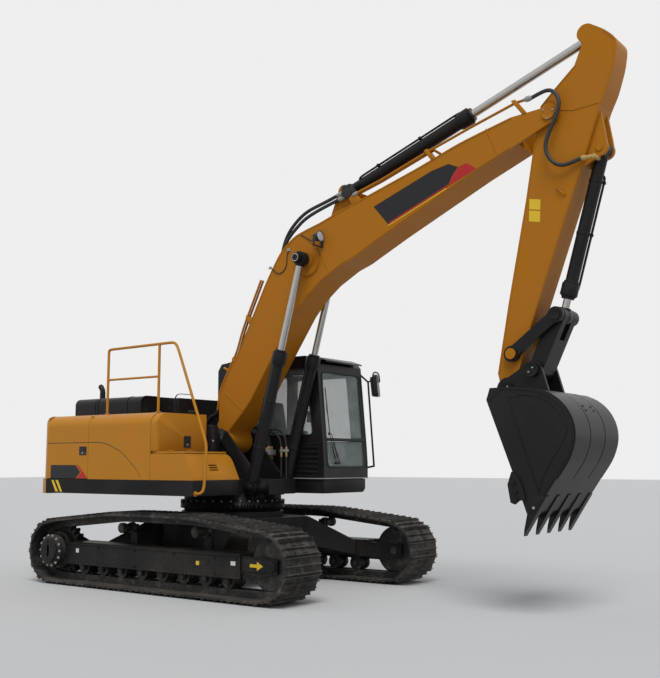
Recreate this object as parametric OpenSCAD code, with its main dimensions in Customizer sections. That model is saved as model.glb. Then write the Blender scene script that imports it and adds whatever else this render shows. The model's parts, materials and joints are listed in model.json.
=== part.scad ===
// Crawler excavator with a hinged working arm, millimetres, +X ahead, +Z up.
// The slew axis is x = 0, y = 0 and the ground is z = 0.

/* [Tracks] */
// distance between the sprocket and the idler axle
tumbler_dist = 3500; // [3300:50:3700]
// distance between the middles of the two tracks
gauge = 2440; // [2400:10:2600]
// width of a track shoe
shoe_w = 600; // [500:50:700]
// length of one track shoe along the loop
shoe_pitch = 190; // [170:5:220]

/* [Upper structure] */
// underside of the deck above the ground
deck_z = 1120; // [1100:10:1160]
// half the width of the upper structure
half_w = 1355; // [1320:5:1400]
// radius of the counterweight about the slew axis
tail_r = 2600; // [2500:25:2700]
// top of the side panels above the ground
panel_top = 2110; // [2080:5:2160]
// top of the cab roof above the ground
cab_top = 2880; // [2800:10:2960]

/* [Working arm] */
// length of the boom between its two pins
boom_len = 5680; // [5400:20:6000]
// slope of the line between the boom's pins
boom_angle = 36.2; // [34:0.2:38]
// length of the arm between its two pins
arm_len = 2930; // [2700:10:3100]
// direction of the arm from its upper pin
arm_angle = -100.6; // [-103:0.2:-98]
// direction of the tooth tips from the bucket's pin
bucket_angle = -77.7; // [-80:0.1:-76]
// width of the bucket over its side plates
bucket_w = 1160; // [1000:20:1300]

/* [Handrails] */
// outside radius of the rail tubes
rail_r = 17; // [14:1:20]

/* [Hidden] */
$fn = 48;
// gaps: radial at a pin, where a piece sits on another, sideways at a boss, between panels
pin_gap = 0.3;
rest_gap = 0.3;
side_gap = 6;
seam = 6;
wall = 20;

// undercarriage
wheel_z = 405;
grouser = 26;
plate = 12;
link_h = 100;
half_dist = tumbler_dist / 2;
path_r = wheel_z - grouser;
rail_in = path_r - link_h;
track_y = gauge / 2;
carrier_x = 620;
carrier_rise = 112;
carrier_z = wheel_z + path_r + carrier_rise - link_h - 78;
ring_r = 620;
ring_z = 900;

// working arm pins in the X-Z plane
foot = [-23, 1789];
cyl_foot = [600, 1210];
tip = polar(foot, boom_len, boom_angle);
boom_k = boom_len / 5680;
lift_pin = place(foot, boom_angle, boom_k, [2406, 935]);
arm_foot = place(foot, boom_angle, boom_k, [3276, 1301]);
arm_k = arm_len / 2930;
arm_eye = place(tip, arm_angle, arm_k, [-852, 265]);
curl_foot = place(tip, arm_angle, arm_k, [341, 575]);
rocker_pin = place(tip, arm_angle, arm_k, [2556, -19]);
hinge = polar(tip, arm_len, arm_angle);
link_low = place(hinge, bucket_angle, 1, [-121, 321]);
link_top = place(hinge, bucket_angle, 1, [-609, 697]);
lift_len = norm(lift_pin - cyl_foot);
swing_len = norm(arm_eye - arm_foot);
curl_len = norm(link_top - curl_foot);
boom_hw = 210;
arm_hw = 155;
boss = 12;
foot_in = boom_hw + boss + side_gap;
fork_in = arm_hw + 8 + side_gap;
cyl_y = 335;
rear_x = 550 - tail_r;
lift_r = 69;
swing_r = 78;
curl_r = 67;
collar = 6;
rod_eye_w = 104;
rocker_in = arm_hw + 4 + side_gap;
rocker_w = 48;
plate_in = arm_hw + 8 + side_gap;

// cab box
cab_x = [-680, 1150];
cab_y = [cyl_y + lift_r + collar + 10, 1395];
cab_z = deck_z + 180;
cab_wall = 45;

function polar(o, r, a) = [o[0] + r * cos(a), o[1] + r * sin(a)];
function place(o, a, k, p) = [o[0] + k * (p[0] * cos(a) - p[1] * sin(a)),
    o[1] + k * (p[0] * sin(a) + p[1] * cos(a))];
function placed(o, a, k, pts) = [for (p = pts) place(o, a, k, p)];
function heading(p, q) = atan2(q[1] - p[1], q[0] - p[0]);
function mid(p, q, t = 0.5) = p + (q - p) * t;

// a shape drawn in X-Z, extruded from y0 to y1
module slab(y0, y1) {
    translate([0, y1, 0]) rotate([90, 0, 0]) linear_extrude(height = y1 - y0) children();
}

// a shape drawn in Y-Z, extruded from x0 to x1
module run(x0, x1) {
    translate([x0, 0, 0]) rotate([90, 0, 90]) linear_extrude(height = x1 - x0) children();
}

module disc(p, r, y0, y1) {
    translate([p[0], y0, p[1]]) rotate([-90, 0, 0]) cylinder(r = r, h = y1 - y0);
}

module spot(p, r) {
    translate(p) circle(r = r);
}

module both() {
    children();
    mirror([0, 1, 0]) children();
}

module box(lo, hi) {
    translate(lo) cube(hi - lo);
}

// a straight tube from p to q
module rod_between(p, q, r) {
    d = q - p;
    n = norm(d);
    translate(p) rotate([0, acos(d[2] / n), atan2(d[1], d[0])]) cylinder(r = r, h = n);
}

module tube_path(pts, r) {
    for (i = [0:len(pts) - 2]) rod_between(pts[i], pts[i + 1], r);
    for (i = [1:len(pts) - 2]) translate(pts[i]) sphere(r = r * 1.03);
}

// the track loop as points along the foot of the grousers, and the shoes on it
loop_pts = concat(
    [[-half_dist, grouser], [half_dist, grouser]],
    [for (a = [-75:15:75]) polar([half_dist, wheel_z], path_r, a)],
    [[half_dist, wheel_z + path_r], [carrier_x, wheel_z + path_r + carrier_rise],
     [-carrier_x, wheel_z + path_r + carrier_rise], [-half_dist, wheel_z + path_r]],
    [for (a = [105:15:255]) polar([-half_dist, wheel_z], path_r, a)],
    [[-half_dist, grouser]]);
function sums(p, i = 1, s = [0]) = i >= len(p) ? s
    : sums(p, i + 1, concat(s, [s[i - 1] + norm(p[i] - p[i - 1])]));
loop_s = sums(loop_pts);
loop_len = loop_s[len(loop_s) - 1];
shoes = round(loop_len / shoe_pitch);
pitch = loop_len / shoes;
loop_x = [for (i = [0:len(loop_s) - 1]) [loop_s[i], loop_pts[i][0]]];
loop_z = [for (i = [0:len(loop_s) - 1]) [loop_s[i], loop_pts[i][1]]];
function on_loop(s) = let (t = (s + loop_len) % loop_len) [lookup(t, loop_x), lookup(t, loop_z)];
function shoe_point(i, along, out) = let (a = on_loop((i + 0.02) * pitch), b = on_loop((i + 0.98) * pitch),
    d = (b - a) / norm(b - a)) a + (b - a) * along + [d[1], -d[0]] * out;
shoe_line = [[0, 0], [0.04, grouser], [0.1, 0], [0.46, 0], [0.5, grouser], [0.56, 0],
    [0.9, 0], [0.96, grouser], [1, 0]];
function shoe_outer() = [for (i = [0:shoes - 1]) each concat(
    [for (q = shoe_line) shoe_point(i, q[0], q[1])], [on_loop((i + 1) * pitch) * 1])];
function ring_at(depth) = [for (i = [0:shoes - 1]) shoe_point(i, 0.5, -depth)];

module track_at(y) {
    slab(y - shoe_w / 2, y + shoe_w / 2) difference() {
        polygon(shoe_outer());
        polygon(ring_at(plate + 10));
    }
    for (s = [-1, 1]) slab(y + s * 75 - 22, y + s * 75 + 22) difference() {
        polygon(ring_at(plate));
        polygon(ring_at(link_h));
    }
}

module track_right() {
    color("#1c1d1f") track_at(-track_y);
}

module track_left() {
    color("#1c1d1f") track_at(track_y);
}

frame_x = [-half_dist + 242, half_dist - 400];
beam_low = 310;
roller_z = grouser + link_h + 90;
roller_rows = 8;
roller_x = [for (i = [0:roller_rows - 1]) -half_dist + 470 + i * (tumbler_dist - 1080) / (roller_rows - 1)];
motor_r = 150;
module frame_side() {
    // side beam, outer cover plate, idler guard and the rollers' brackets
    difference() {
        slab(track_y - 150, track_y + 150) polygon([[frame_x[0], 400], [frame_x[0] + 60, 520],
            [frame_x[1], 520], [frame_x[1], beam_low], [frame_x[0], beam_low]]);
        slab(track_y - 130, track_y + 130) polygon([[frame_x[0] - 10, 400], [frame_x[0] + 70, 500],
            [frame_x[1] - 20, 500], [frame_x[1] - 20, beam_low + 20], [frame_x[0] - 10, beam_low + 20]]);
        disc([-half_dist, wheel_z], tooth_r + 12, track_y - 60, track_y + 60);
    }
    slab(track_y + 150, track_y + 170) polygon([[-half_dist + 160, 250], [-half_dist + 160, 505],
        [frame_x[1] + 20, 515], [frame_x[1] + 20, 250]]);
    slab(track_y - 150, track_y - 120) difference() {
        union() {
            polygon([[-half_dist, wheel_z - 200], [-half_dist, wheel_z + 200], [frame_x[0] + 80, 500],
                [frame_x[0] + 80, beam_low]]);
            spot([-half_dist, wheel_z], 200);
        }
        spot([-half_dist, wheel_z], motor_r + pin_gap);
    }
    for (s = [-1, 1]) {
        slab(track_y + s * 125 - 15, track_y + s * 125 + 15) difference() {
            polygon([[frame_x[1] - 80, beam_low], [frame_x[1] - 80, 500], [half_dist + 120, 480],
                [half_dist + 120, 330], [half_dist - 80, 290]]);
            spot([half_dist, wheel_z], 45 + pin_gap);
        }
        for (x = roller_x) slab(track_y + s * 115 - 13, track_y + s * 115 + 13) difference() {
            polygon([[x - 60, beam_low + 5], [x - 42, roller_z - 36], [x + 42, roller_z - 36],
                [x + 60, beam_low + 5]]);
            spot([x, roller_z], 30 + pin_gap);
        }
    }
    // posts of the carrier rollers
    for (x = [-carrier_x, carrier_x]) slab(track_y - 150, track_y - 112) difference() {
        polygon([[x - 60, 515], [x - 45, carrier_z + 40], [x + 45, carrier_z + 40], [x + 60, 515]]);
        spot([x, carrier_z], 30 + pin_gap);
    }
}

module track_frames() {
    color("#222325") both() frame_side();
}

module rollers() {
    color("#191a1c") both() {
        for (x = roller_x) {
            for (y = [-98, 40]) disc([x, roller_z], 89.5, track_y + y, track_y + y + 58);
            disc([x, roller_z], 74, track_y - 45, track_y + 45);
            disc([x, roller_z], 30, track_y - 127, track_y + 127);
        }
        for (x = [-carrier_x, carrier_x]) {
            for (y = [-98, 50]) disc([x, carrier_z], 62, track_y + y, track_y + y + 48);
            disc([x, carrier_z], 48, track_y - 55, track_y + 110);
            disc([x, carrier_z], 30, track_y - 149, track_y - 50);
        }
    }
}

// the links stand on the idler as a polygon, so its rim stays inside their chords
half_step = asin(pitch / 2 / path_r);
rim_r = (path_r * cos(half_step) - link_h) * cos(half_step) - 3;
tooth_r = rail_in + 50;
module idlers() {
    color("#191a1c") both() {
        disc([half_dist, wheel_z], rim_r, track_y - 98, track_y + 98);
        disc([half_dist, wheel_z], rail_in + 25, track_y - 50, track_y + 50);
        disc([half_dist, wheel_z], 70, track_y - 109, track_y + 109);
        disc([half_dist, wheel_z], 45, track_y - 139, track_y + 139);
    }
}

module sprockets() {
    teeth = 21;
    hub = [-half_dist, wheel_z];
    color("#191a1c") both() {
        slab(track_y - 45, track_y + 45) union() {
            spot(hub, rim_r);
            polygon([for (i = [0:teeth * 4 - 1]) polar(hub, (i % 4 < 2) ? tooth_r : rim_r + 10, i * 90 / teeth)]);
        }
        disc(hub, 232, track_y - 112, track_y + 130);
        disc(hub, motor_r, track_y - 230, track_y + 180);
        disc(hub, 198, track_y + 176, track_y + 262);
        disc(hub, 176, track_y + 255, track_y + 275);
    }
}

leg_out = track_y - 150;
module car_body() {
    color("#222325") {
        difference() {
            translate([0, 0, 470]) linear_extrude(height = 360) polygon([[-820, -520], [-560, -680], [560, -680],
                [820, -520], [820, 520], [560, 680], [-560, 680], [-820, 520]]);
            translate([0, 0, 490]) linear_extrude(height = 320) polygon([[-790, -505], [-550, -655], [550, -655],
                [790, -505], [790, 505], [550, 655], [-550, 655], [-790, 505]]);
        }
        // four legs out to the side beams
        both() for (s = [-1, 1]) difference() {
            hull() {
                box([s * 700 - 110, 500, 480], [s * 700 + 110, 560, 820]);
                box([s * 1000 - 190, leg_out - 30, 330], [s * 1000 + 190, leg_out, 500]);
            }
            box([-640, 0, 400], [640, 640, 900]);
        }
        translate([0, 0, 820]) cylinder(r = ring_r + 30, h = ring_z - 820, $fn = 96);
        // towing lug with a hole at each end
        for (s = [-1, 1]) difference() {
            translate([0, 0, 560]) linear_extrude(height = 40) union() {
                polygon([[s * 780, -110], [s * 900, -62], [s * 900, 62], [s * 780, 110]]);
                spot([s * 900, 0], 62);
            }
            translate([s * 900, 0, 550]) cylinder(r = 30, h = 60);
        }
    }
}

deck_front = 820;
slot_x = cyl_foot[0] - 110;
box_front = 1290;
module deck_plan() {
    polygon([[rear_x, -half_w], [box_front - 60, -half_w], [box_front, -half_w + 110], [box_front, -650],
        [slot_x, -650], [slot_x, -foot_in - 30], [deck_front, -foot_in - 30], [deck_front, foot_in + 30],
        [slot_x, foot_in + 30], [slot_x, 430], [cab_x[1] - 10, 430], [cab_x[1] - 10, half_w - 60],
        [cab_x[1] - 90, half_w], [rear_x, half_w]]);
}

module foot_bracket(y0, y1) {
    slab(y0, y1) difference() {
        union() {
            polygon([[-380, deck_z + 100], [-380, deck_z + 260], [-200, 1830], [foot[0] - 120, 1905],
                [foot[0] + 120, 1905], [cyl_foot[0] + 90, cyl_foot[1] + 70], [cyl_foot[0] + 110, deck_z + 20]]);
            spot(foot, 150);
            spot(cyl_foot, 110);
        }
        spot(foot, 44);
        spot(cyl_foot, 44);
    }
}

module deck() {
    color("#242528") {
        difference() {
            translate([0, 0, deck_z]) linear_extrude(height = 180) deck_plan();
            translate([0, 0, deck_z - 1]) linear_extrude(height = 161) difference() {
                offset(delta = -12) deck_plan();
                circle(r = ring_r + 60, $fn = 96);
                polygon([[-380, -290], [900, -290], [900, 290], [-380, 290]]);
                polygon([[rear_x - 10, -700], [-700, -290], [-700, 290], [rear_x - 10, 700]]);
            }
        }
        both() foot_bracket(foot_in, foot_in + 30);
        disc(foot, 50, -foot_in - 45, foot_in + 45);
        both() disc(cyl_foot, 45, foot_in + 10, cyl_y + 55);
        both() disc(cyl_foot, 62, cyl_y + 50, cyl_y + 66);
        translate([0, 0, ring_z + rest_gap]) cylinder(r = ring_r, h = deck_z - ring_z + 10, $fn = 96);
        translate([0, 0, 940]) cylinder(r = ring_r + 45, h = 90, $fn = 96);
    }
}

// plan of the counterweight: an arc about the slew axis with rounded corners
module tail_plan(r, round_r, y) {
    cy = y - round_r;
    cx = -sqrt(pow(r - round_r, 2) - cy * cy);
    intersection() {
        circle(r = r, $fn = 128);
        polygon([[0, 0], [2 * cx, 2 * cy], [-2 * r, 2 * cy], [-2 * r, -2 * cy], [2 * cx, -2 * cy]]);
        polygon([[rear_x - rest_gap, -y], [rear_x - rest_gap, y], [-2 * r, y], [-2 * r, -y]]);
    }
    intersection() {
        union() {
            spot([cx, cy], round_r);
            spot([cx, -cy], round_r);
            polygon([[cx, y], [cx, -y], [0, -y], [0, y]]);
            polygon([[cx, cy], [cx, -cy], [0, 0]]);
            polygon([[cx, cy], 1.001 * [cx, cy] * r / (r - round_r) * 0.98, [cx - 100, -cy], [cx, -cy]]);
        }
        polygon([[rear_x - rest_gap, -y], [rear_x - rest_gap, y], [-2 * r, y], [-2 * r, -y]]);
    }
}

module counterweight() {
    color("#c9862b") difference() {
        union() {
            translate([0, 0, deck_z - 10]) linear_extrude(height = 190) tail_plan(tail_r + 40, 560, half_w);
            intersection() {
                translate([0, 0, deck_z + 180]) linear_extrude(height = panel_top - deck_z - 180)
                    tail_plan(tail_r, 560, half_w);
                rotate_extrude($fn = 128) polygon([[0, 1000], [tail_r + 60, 1000], [tail_r + 10, panel_top - 330],
                    [tail_r - 30, panel_top - 160], [tail_r - 90, panel_top - 60], [tail_r - 190, panel_top],
                    [0, panel_top]]);
            }
        }
        // threaded holes for the lifting eyes
        for (s = [-1, 1]) translate([rear_x - 180, s * 520, panel_top - 60]) cylinder(r = 18, h = 80);
    }
}

module engine() {
    color("#3a3c40") {
        box([rear_x + 330, -620, deck_z + 180], [-1060, 420, deck_z + 880]);
        box([rear_x + 400, 440, deck_z + 180], [-1120, 800, deck_z + 800]);
    }
}

// section of a side panel with a rounded top edge, for the right side
panel_round = 150;
function panel_arc(r) = [for (a = [180:-10:90])
    polar([-half_w + panel_round, panel_top - panel_round], r, a)];
function backwards(p) = [for (i = [len(p) - 1:-1:0]) p[i]];
module panel_section(t, low, inner) {
    polygon(concat([[-half_w, low]], panel_arc(panel_round), [[-inner, panel_top], [-inner, panel_top - t]],
        backwards(panel_arc(panel_round - t)), [[-half_w + t, low]]));
}

door_x = -1235;
mid_x = -110;
rear_left = -700;
low_z = deck_z + 180 + rest_gap;
module side_body() {
    color("#c9862b") {
        // right: fixed middle panel and the strip above the pump door
        run(door_x + seam, mid_x) panel_section(30, low_z, 900);
        run(rear_x + 6, door_x + 20) polygon([[-half_w + 185, panel_top - 30], [-half_w + 185, panel_top],
            [-900, panel_top], [-900, panel_top - 30]]);
        box([door_x + 8, -half_w + 30, low_z], [door_x + 28, -940, panel_top - 20]);
        rear_frame();
        // left: fixed rear frame around the left door
        mirror([0, 1, 0]) {
            run(-1180, rear_left) panel_section(30, low_z, 900);
            run(rear_x + 6, -1160) polygon([[-half_w + 185, panel_top - 30], [-half_w + 185, panel_top],
                [-900, panel_top], [-900, panel_top - 30]]);
            box([-1178, -half_w + 30, low_z], [-1158, -940, panel_top - 20]);
            rear_frame();
        }
    }
}

// the side doors turn about pins in their rear edge
door_pin = [rear_x + 17, half_w - 8];
door_hinge_z = [low_z + 120, panel_top - 330];
hinge_h = 60;
module rear_frame() {
    box([rear_x + 8, -half_w + 70, low_z], [rear_x + 28, -940, panel_top - 64]);
    box([rear_x + 8, -half_w + 190, low_z], [rear_x + 28, -940, panel_top - 20]);
    for (z = door_hinge_z) {
        translate([door_pin[0], -door_pin[1], z]) cylinder(r = 8, h = hinge_h);
        translate([door_pin[0], -door_pin[1], z - 20]) cylinder(r = 4, h = hinge_h + 40);
        box([rear_x + 11, -half_w + 10, z + 5], [rear_x + 23, -half_w + 80, z + hinge_h - 5]);
    }
}

module door_panel(front) {
    difference() {
        run(rear_x + 9, front) panel_section(26, low_z + seam, half_w - 182);
        for (z = door_hinge_z) {
            box([rear_x, -half_w - 1, z - 3], [door_pin[0] + 14, -half_w + 30, z + hinge_h + 3]);
            translate([door_pin[0], -door_pin[1], z - 30]) cylinder(r = 4 + pin_gap, h = hinge_h + 60);
        }
    }
}

module pump_door() {
    color("#c9862b") door_panel(door_x);
}

module left_door() {
    color("#c9862b") mirror([0, 1, 0]) door_panel(-1186);
}

tank_top = panel_top - 8;
module tank_side() {
    polygon([[mid_x + seam, tank_low], [mid_x + seam, tank_top], [mid_x + 860, tank_top - 30],
        [mid_x + 925, tank_top - 90], [mid_x + 935, tank_low]]);
}

module fuel_tank() {
    color("#c9862b") {
        slab(-half_w, -640) difference() {
            tank_side();
            offset(delta = -wall) tank_side();
        }
        slab(-640 - wall, -640) tank_side();
        slab(-half_w, -half_w + wall) tank_side();
    }
}

module toolbox_plan() {
    polygon([[mid_x + seam, -half_w], [450, -half_w], [box_front - 70, -half_w + 120],
        [box_front, -half_w + 190], [box_front, -660], [mid_x + seam, -660]]);
}

tank_low = low_z + 345;
lid_x = mid_x + 950;
lid_pin = [lid_x + 6, low_z + 346];
lid_hinges = [-1200, -860];
module toolbox() {
    color("#c9862b") {
        difference() {
            translate([0, 0, low_z]) linear_extrude(height = 308) toolbox_plan();
            translate([0, 0, low_z + 15]) linear_extrude(height = 300) offset(delta = -15) toolbox_plan();
        }
        // closed top that carries the tank
        translate([0, 0, low_z + 294]) linear_extrude(height = 14) under_tank(0);
        translate([0, 0, low_z + 300]) linear_extrude(height = tank_low - rest_gap - low_z - 300) under_tank(-30);
        for (y = lid_hinges) {
            slab(y, y + 50) union() {
                spot(lid_pin, 9);
                polygon([[lid_x - 60, low_z + 325], [lid_x - 60, low_z + 342], lid_pin - [0, 3],
                    lid_pin - [0, 8], [lid_x - 24, low_z + 336], [lid_x - 24, low_z + 325]]);
            }
            disc(lid_pin, 5, y + 40, y + 98);
        }
    }
}

module under_tank(d) {
    intersection() {
        offset(delta = d) toolbox_plan();
        polygon([[mid_x, -2000], [lid_x - 25, -2000], [lid_x - 25, 0], [mid_x, 0]]);
    }
}

module toolbox_lid() {
    color("#c9862b") {
        translate([0, 0, low_z + 312]) linear_extrude(height = 22) intersection() {
            toolbox_plan();
            polygon([[lid_x, -2000], [2000, -2000], [2000, 0], [lid_x, 0]]);
        }
        for (y = lid_hinges) difference() {
            slab(y + 51, y + 101) union() {
                spot(lid_pin, 9);
                polygon([lid_pin + [40, -18], lid_pin + [40, -4], lid_pin - [0, 3], lid_pin - [0, 8],
                    lid_pin + [9, -18]]);
            }
            disc(lid_pin, 5 + pin_gap, y + 45, y + 105);
        }
    }
}

cover_top = 2352;
module cover_outline(low) {
    polygon([[-930, low], [-930, cover_top - 90], [-840, cover_top], [840, cover_top],
        [930, cover_top - 90], [930, low]]);
    spot([-840, cover_top - 90], 90);
    spot([840, cover_top - 90], 90);
}

module cover_section(t, low) {
    difference() {
        cover_outline(low);
        polygon([[-930 + t, low - 10], [-930 + t, cover_top - 90], [-840, cover_top - t],
            [840, cover_top - t], [930 - t, cover_top - 90], [930 - t, low - 10]]);
        spot([-840, cover_top - 90], 90 - t);
        spot([840, cover_top - 90], 90 - t);
    }
}

// the hood turns about knuckles on the rear cover
hood_pin = [rear_x + 424, cover_top + 12];
module hood_leaf(s, y0, y1) {
    slab(y0, y1) union() {
        spot(hood_pin, 12);
        polygon([for (q = [[40, -16], [40, -4], [0, -4], [0, -11], [9, -11], [9, -16]]) hood_pin + [s * q[0], q[1]]]);
    }
}

module muffler_cover() {
    color("#232427") {
        run(rear_x + 40, rear_x + 418) cover_section(25, panel_top + rest_gap);
        run(rear_x + 20, rear_x + 45) cover_outline(panel_top + rest_gap);
        both() hood_leaf(-1, 500, 560);
        both() disc(hood_pin, 6, 550, 618);
    }
}

module hood() {
    color("#232427") {
        run(rear_x + 430, -760) cover_section(25, panel_top + 4);
        run(-785, -760) polygon([[-900, panel_top + 4], [-900, cover_top - 80], [-840, cover_top - 20],
            [840, cover_top - 20], [900, cover_top - 80], [900, panel_top + 4]]);
        both() difference() {
            hood_leaf(1, 561, 621);
            disc(hood_pin, 6 + pin_gap, 555, 625);
        }
    }
}

module exhaust() {
    color("#151618") {
        translate([rear_x + 200, -620, cover_top]) cylinder(r = 38, h = 101);
        translate([rear_x + 100, -620, cover_top + 100]) rotate([90, 0, 0]) rotate_extrude(angle = 60)
            translate([100, 0]) circle(r = 36);
    }
}

module valve_cover() {
    // stands clear of the arc that the hood's lower front edge makes
    rear = hood_pin[0] + norm([-760, panel_top + 4] - hood_pin) + side_gap;
    color("#232427") difference() {
        box([rear, -600, low_z], [-400, 380, cover_top - 25]);
        box([rear + 20, -580, low_z - 10], [-420, 360, cover_top - 45]);
    }
}

rail_y = -half_w + 170;
rail_top = panel_top + 830;
module handrails() {
    out_y = -half_w - 48;
    color("#c9862b") {
        tube_path([[-1089, rail_y, panel_top], [-1089, rail_y, rail_top - 60], [-1044, rail_y, rail_top],
            [106, rail_y, rail_top + 12], [190, -half_w + 35, rail_top - 50], [800, out_y, 1760], [800, out_y, 1200],
            [760, out_y, 1160], [700, out_y, 1160], [700, -half_w - 6, 1160]], rail_r);
        disc([700, 1160], 28, -half_w - 12, -half_w);
        rod_between([-164, rail_y, panel_top], [-164, rail_y, rail_top + 8], rail_r);
        rod_between([-1089, rail_y, panel_top + 440], [-164, rail_y, panel_top + 440], rail_r - 3);
        for (x = [-1089, -164]) translate([x, rail_y, panel_top]) cylinder(r = 34, h = 8);
    }
}

// cab outline seen from the side
module cab_side() {
    polygon([[cab_x[0], cab_z], [cab_x[0], cab_top - 120], [cab_x[0] + 60, cab_top - 30],
        [cab_x[0] + 300, cab_top], [840, cab_top], [980, cab_top - 40], [1040, cab_top - 110],
        [1135, cab_z + 420], [cab_x[1], cab_z + 200], [cab_x[1], cab_z]]);
}

door_pts = [[-130, cab_z + 60], [-130, cab_top - 150], [880, cab_top - 150], [985, cab_z + 520],
    [985, cab_z + 330], [860, cab_z + 60]];
module cab_shell() {
    color("#1e1f22") difference() {
        slab(cab_y[0], cab_y[1]) cab_side();
        slab(cab_y[0] + cab_wall, cab_y[1] - cab_wall) offset(delta = -cab_wall) cab_side();
        // doorway, right and rear windows, windscreen
        slab(cab_y[1] - 200, cab_y[1] + 10) polygon(door_pts);
        slab(cab_y[0] - 10, cab_y[0] + 200) right_window();
        slab(cab_y[1] - 200, cab_y[1] + 10) left_window();
        run(cab_x[0] - 10, cab_x[0] + 100) rear_window();
        run(900, 1300) windscreen();
    }
    color("#1e1f22") for (z = cab_hinges) {
        cab_leaf(-1, z);
        translate([cab_pin[0], cab_pin[1], z + 40]) cylinder(r = 6, h = 58);
    }
    color("#1e1f22") slab(cab_y[0] + 40, cab_y[1] - 40)
        polygon([[1070, cab_z + 480], [1065, cab_z + 520], [1120, cab_z + 520], [1126, cab_z + 480]]);
}

// the cab door turns about knuckles outside its rear post
cab_pin = [door_pts[0][0] + seam / 2, cab_y[1] + 12];
cab_hinges = [cab_z + 180, cab_top - 340];
module cab_leaf(s, z) {
    translate([cab_pin[0], cab_pin[1], z]) linear_extrude(height = 50) union() {
        circle(r = 11);
        polygon([for (q = [[0, -4], [0, -10], [9, -10], [9, -16], [44, -16], [44, -4]]) [s * q[0], q[1]]]);
    }
}

module right_window() {
    offset(r = 50) offset(delta = -50)
        polygon([[-560, cab_z + 560], [-560, cab_top - 170], [860, cab_top - 170], [970, cab_z + 560]]);
}

module left_window() {
    offset(r = 40) offset(delta = -40)
        polygon([[-590, cab_z + 620], [-590, cab_top - 170], [-210, cab_top - 170], [-210, cab_z + 620]]);
}

module rear_window() {
    offset(r = 50) offset(delta = -50) polygon([[cab_y[0] + 100, cab_z + 640], [cab_y[0] + 100, cab_top - 200],
        [cab_y[1] - 100, cab_top - 200], [cab_y[1] - 100, cab_z + 640]]);
}

module windscreen() {
    offset(r = 60) offset(delta = -60) polygon([[cab_y[0] + 75, cab_z + 150], [cab_y[0] + 75, cab_top - 215],
        [cab_y[1] - 75, cab_top - 215], [cab_y[1] - 75, cab_z + 150]]);
}

glass_in = 18;
// outer face of the cab's front between two heights
function front_line(z) = z > cab_z + 420 ? [1135 - (z - cab_z - 420) * 95 / (cab_top - 110 - cab_z - 420), z]
    : [1150 - max(0, z - cab_z - 200) * 15 / 220, z];
module front_pane(z0, z1) {
    line = [for (z = [z0, cab_z + 200, cab_z + 420, z1]) if (z >= z0 && z <= z1) front_line(z)];
    intersection() {
        slab(cab_y[0], cab_y[1]) polygon(concat([for (q = line) q - [glass_in, 0]],
            backwards([for (q = line) q - [glass_in - 6, 0]])));
        run(900, 1300) offset(delta = -rest_gap) windscreen();
    }
}

module cab_glass() {
    color("#9fb4b8", 0.4) {
        front_pane(cab_z + 524, cab_top - 200);
        front_pane(cab_z + 140, cab_z + 476);
        slab(cab_y[0] + glass_in, cab_y[0] + glass_in + 6) offset(delta = -rest_gap) right_window();
        slab(cab_y[1] - glass_in - 6, cab_y[1] - glass_in) offset(delta = -rest_gap) left_window();
        run(cab_x[0] + glass_in, cab_x[0] + glass_in + 6) offset(delta = -rest_gap) rear_window();
    }
}

module door_hole() {
    offset(r = 40) offset(delta = -40) polygon([[-60, cab_z + 760], [-60, cab_top - 220],
        [825, cab_top - 220], [905, cab_z + 530], [905, cab_z + 480], [250, cab_z + 480]]);
}

module cab_door() {
    color("#1e1f22") {
        slab(cab_y[1] - cab_wall, cab_y[1]) difference() {
            offset(delta = -seam) polygon(door_pts);
            door_hole();
        }
        for (z = cab_hinges) difference() {
            cab_leaf(1, z + 51);
            translate([cab_pin[0], cab_pin[1], z + 45]) cylinder(r = 6 + pin_gap, h = 60);
        }
    }
}

module door_glass() {
    color("#9fb4b8", 0.4) slab(cab_y[1] - glass_in - 6, cab_y[1] - glass_in) offset(delta = -rest_gap) door_hole();
}

module seat() {
    floor_z = cab_z + cab_wall + rest_gap;
    color("#26272b") {
        box([-120, 700, floor_z], [420, 1110, floor_z + 284]);
        box([-140, 660, floor_z + 284 + rest_gap], [440, 1150, floor_z + 424]);
        slab(660, 1150) polygon([[-150, floor_z + 424 + rest_gap], [10, floor_z + 424 + rest_gap],
            [-110, floor_z + 1104], [-230, floor_z + 1104]]);
        for (y = [520, 1200]) box([-60, y, floor_z], [560, y + 110, floor_z + 554]);
    }
}

module cab_rail() {
    color("#141517") {
        low_foot = [cab_x[1] - 80, cab_y[1] + 13, cab_z + 130];
        top_foot = [cab_x[1] - 140, cab_y[1] + 13, cab_z + 1400];
        bend = [cab_x[1] - 30, cab_y[1] + 60, cab_z + 1290];
        tube_path([low_foot - [0, 9, 0], low_foot, [cab_x[1] + 60, cab_y[1] + 60, cab_z + 160], bend,
            top_foot, top_foot - [0, 9, 0]], 13);
        for (f = [low_foot, top_foot]) disc([f[0], f[2]], 25, cab_y[1], cab_y[1] + 9);
        rod_between(bend, bend + [10, 100, 40], 11);
        translate([cab_x[1] - 20, cab_y[1] + 160, cab_z + 1230]) rotate([0, -6, 25])
            cube([26, 150, 260], center = true);
    }
}

boom_top = [[-35, 151], [120, 236], [304, 498], [661, 670], [845, 723], [1688, 1132], [1980, 1253],
    [2172, 1311], [2453, 1315], [2836, 1177], [3122, 1086], [4214, 704], [4748, 536], [5355, 292], [5651, 105]];
boom_low = [[5640, -98], [5146, 21], [4677, 136], [3501, 380], [2916, 487], [2724, 544], [2405, 587],
    [2158, 580], [1878, 528], [1239, 306], [695, 106], [520, 67], [176, 15], [-20, -150]];
module boom_profile() {
    polygon(placed(foot, boom_angle, boom_k, concat(boom_top, boom_low)));
    spot(foot, 160);
    spot(tip, 108);
}

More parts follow.
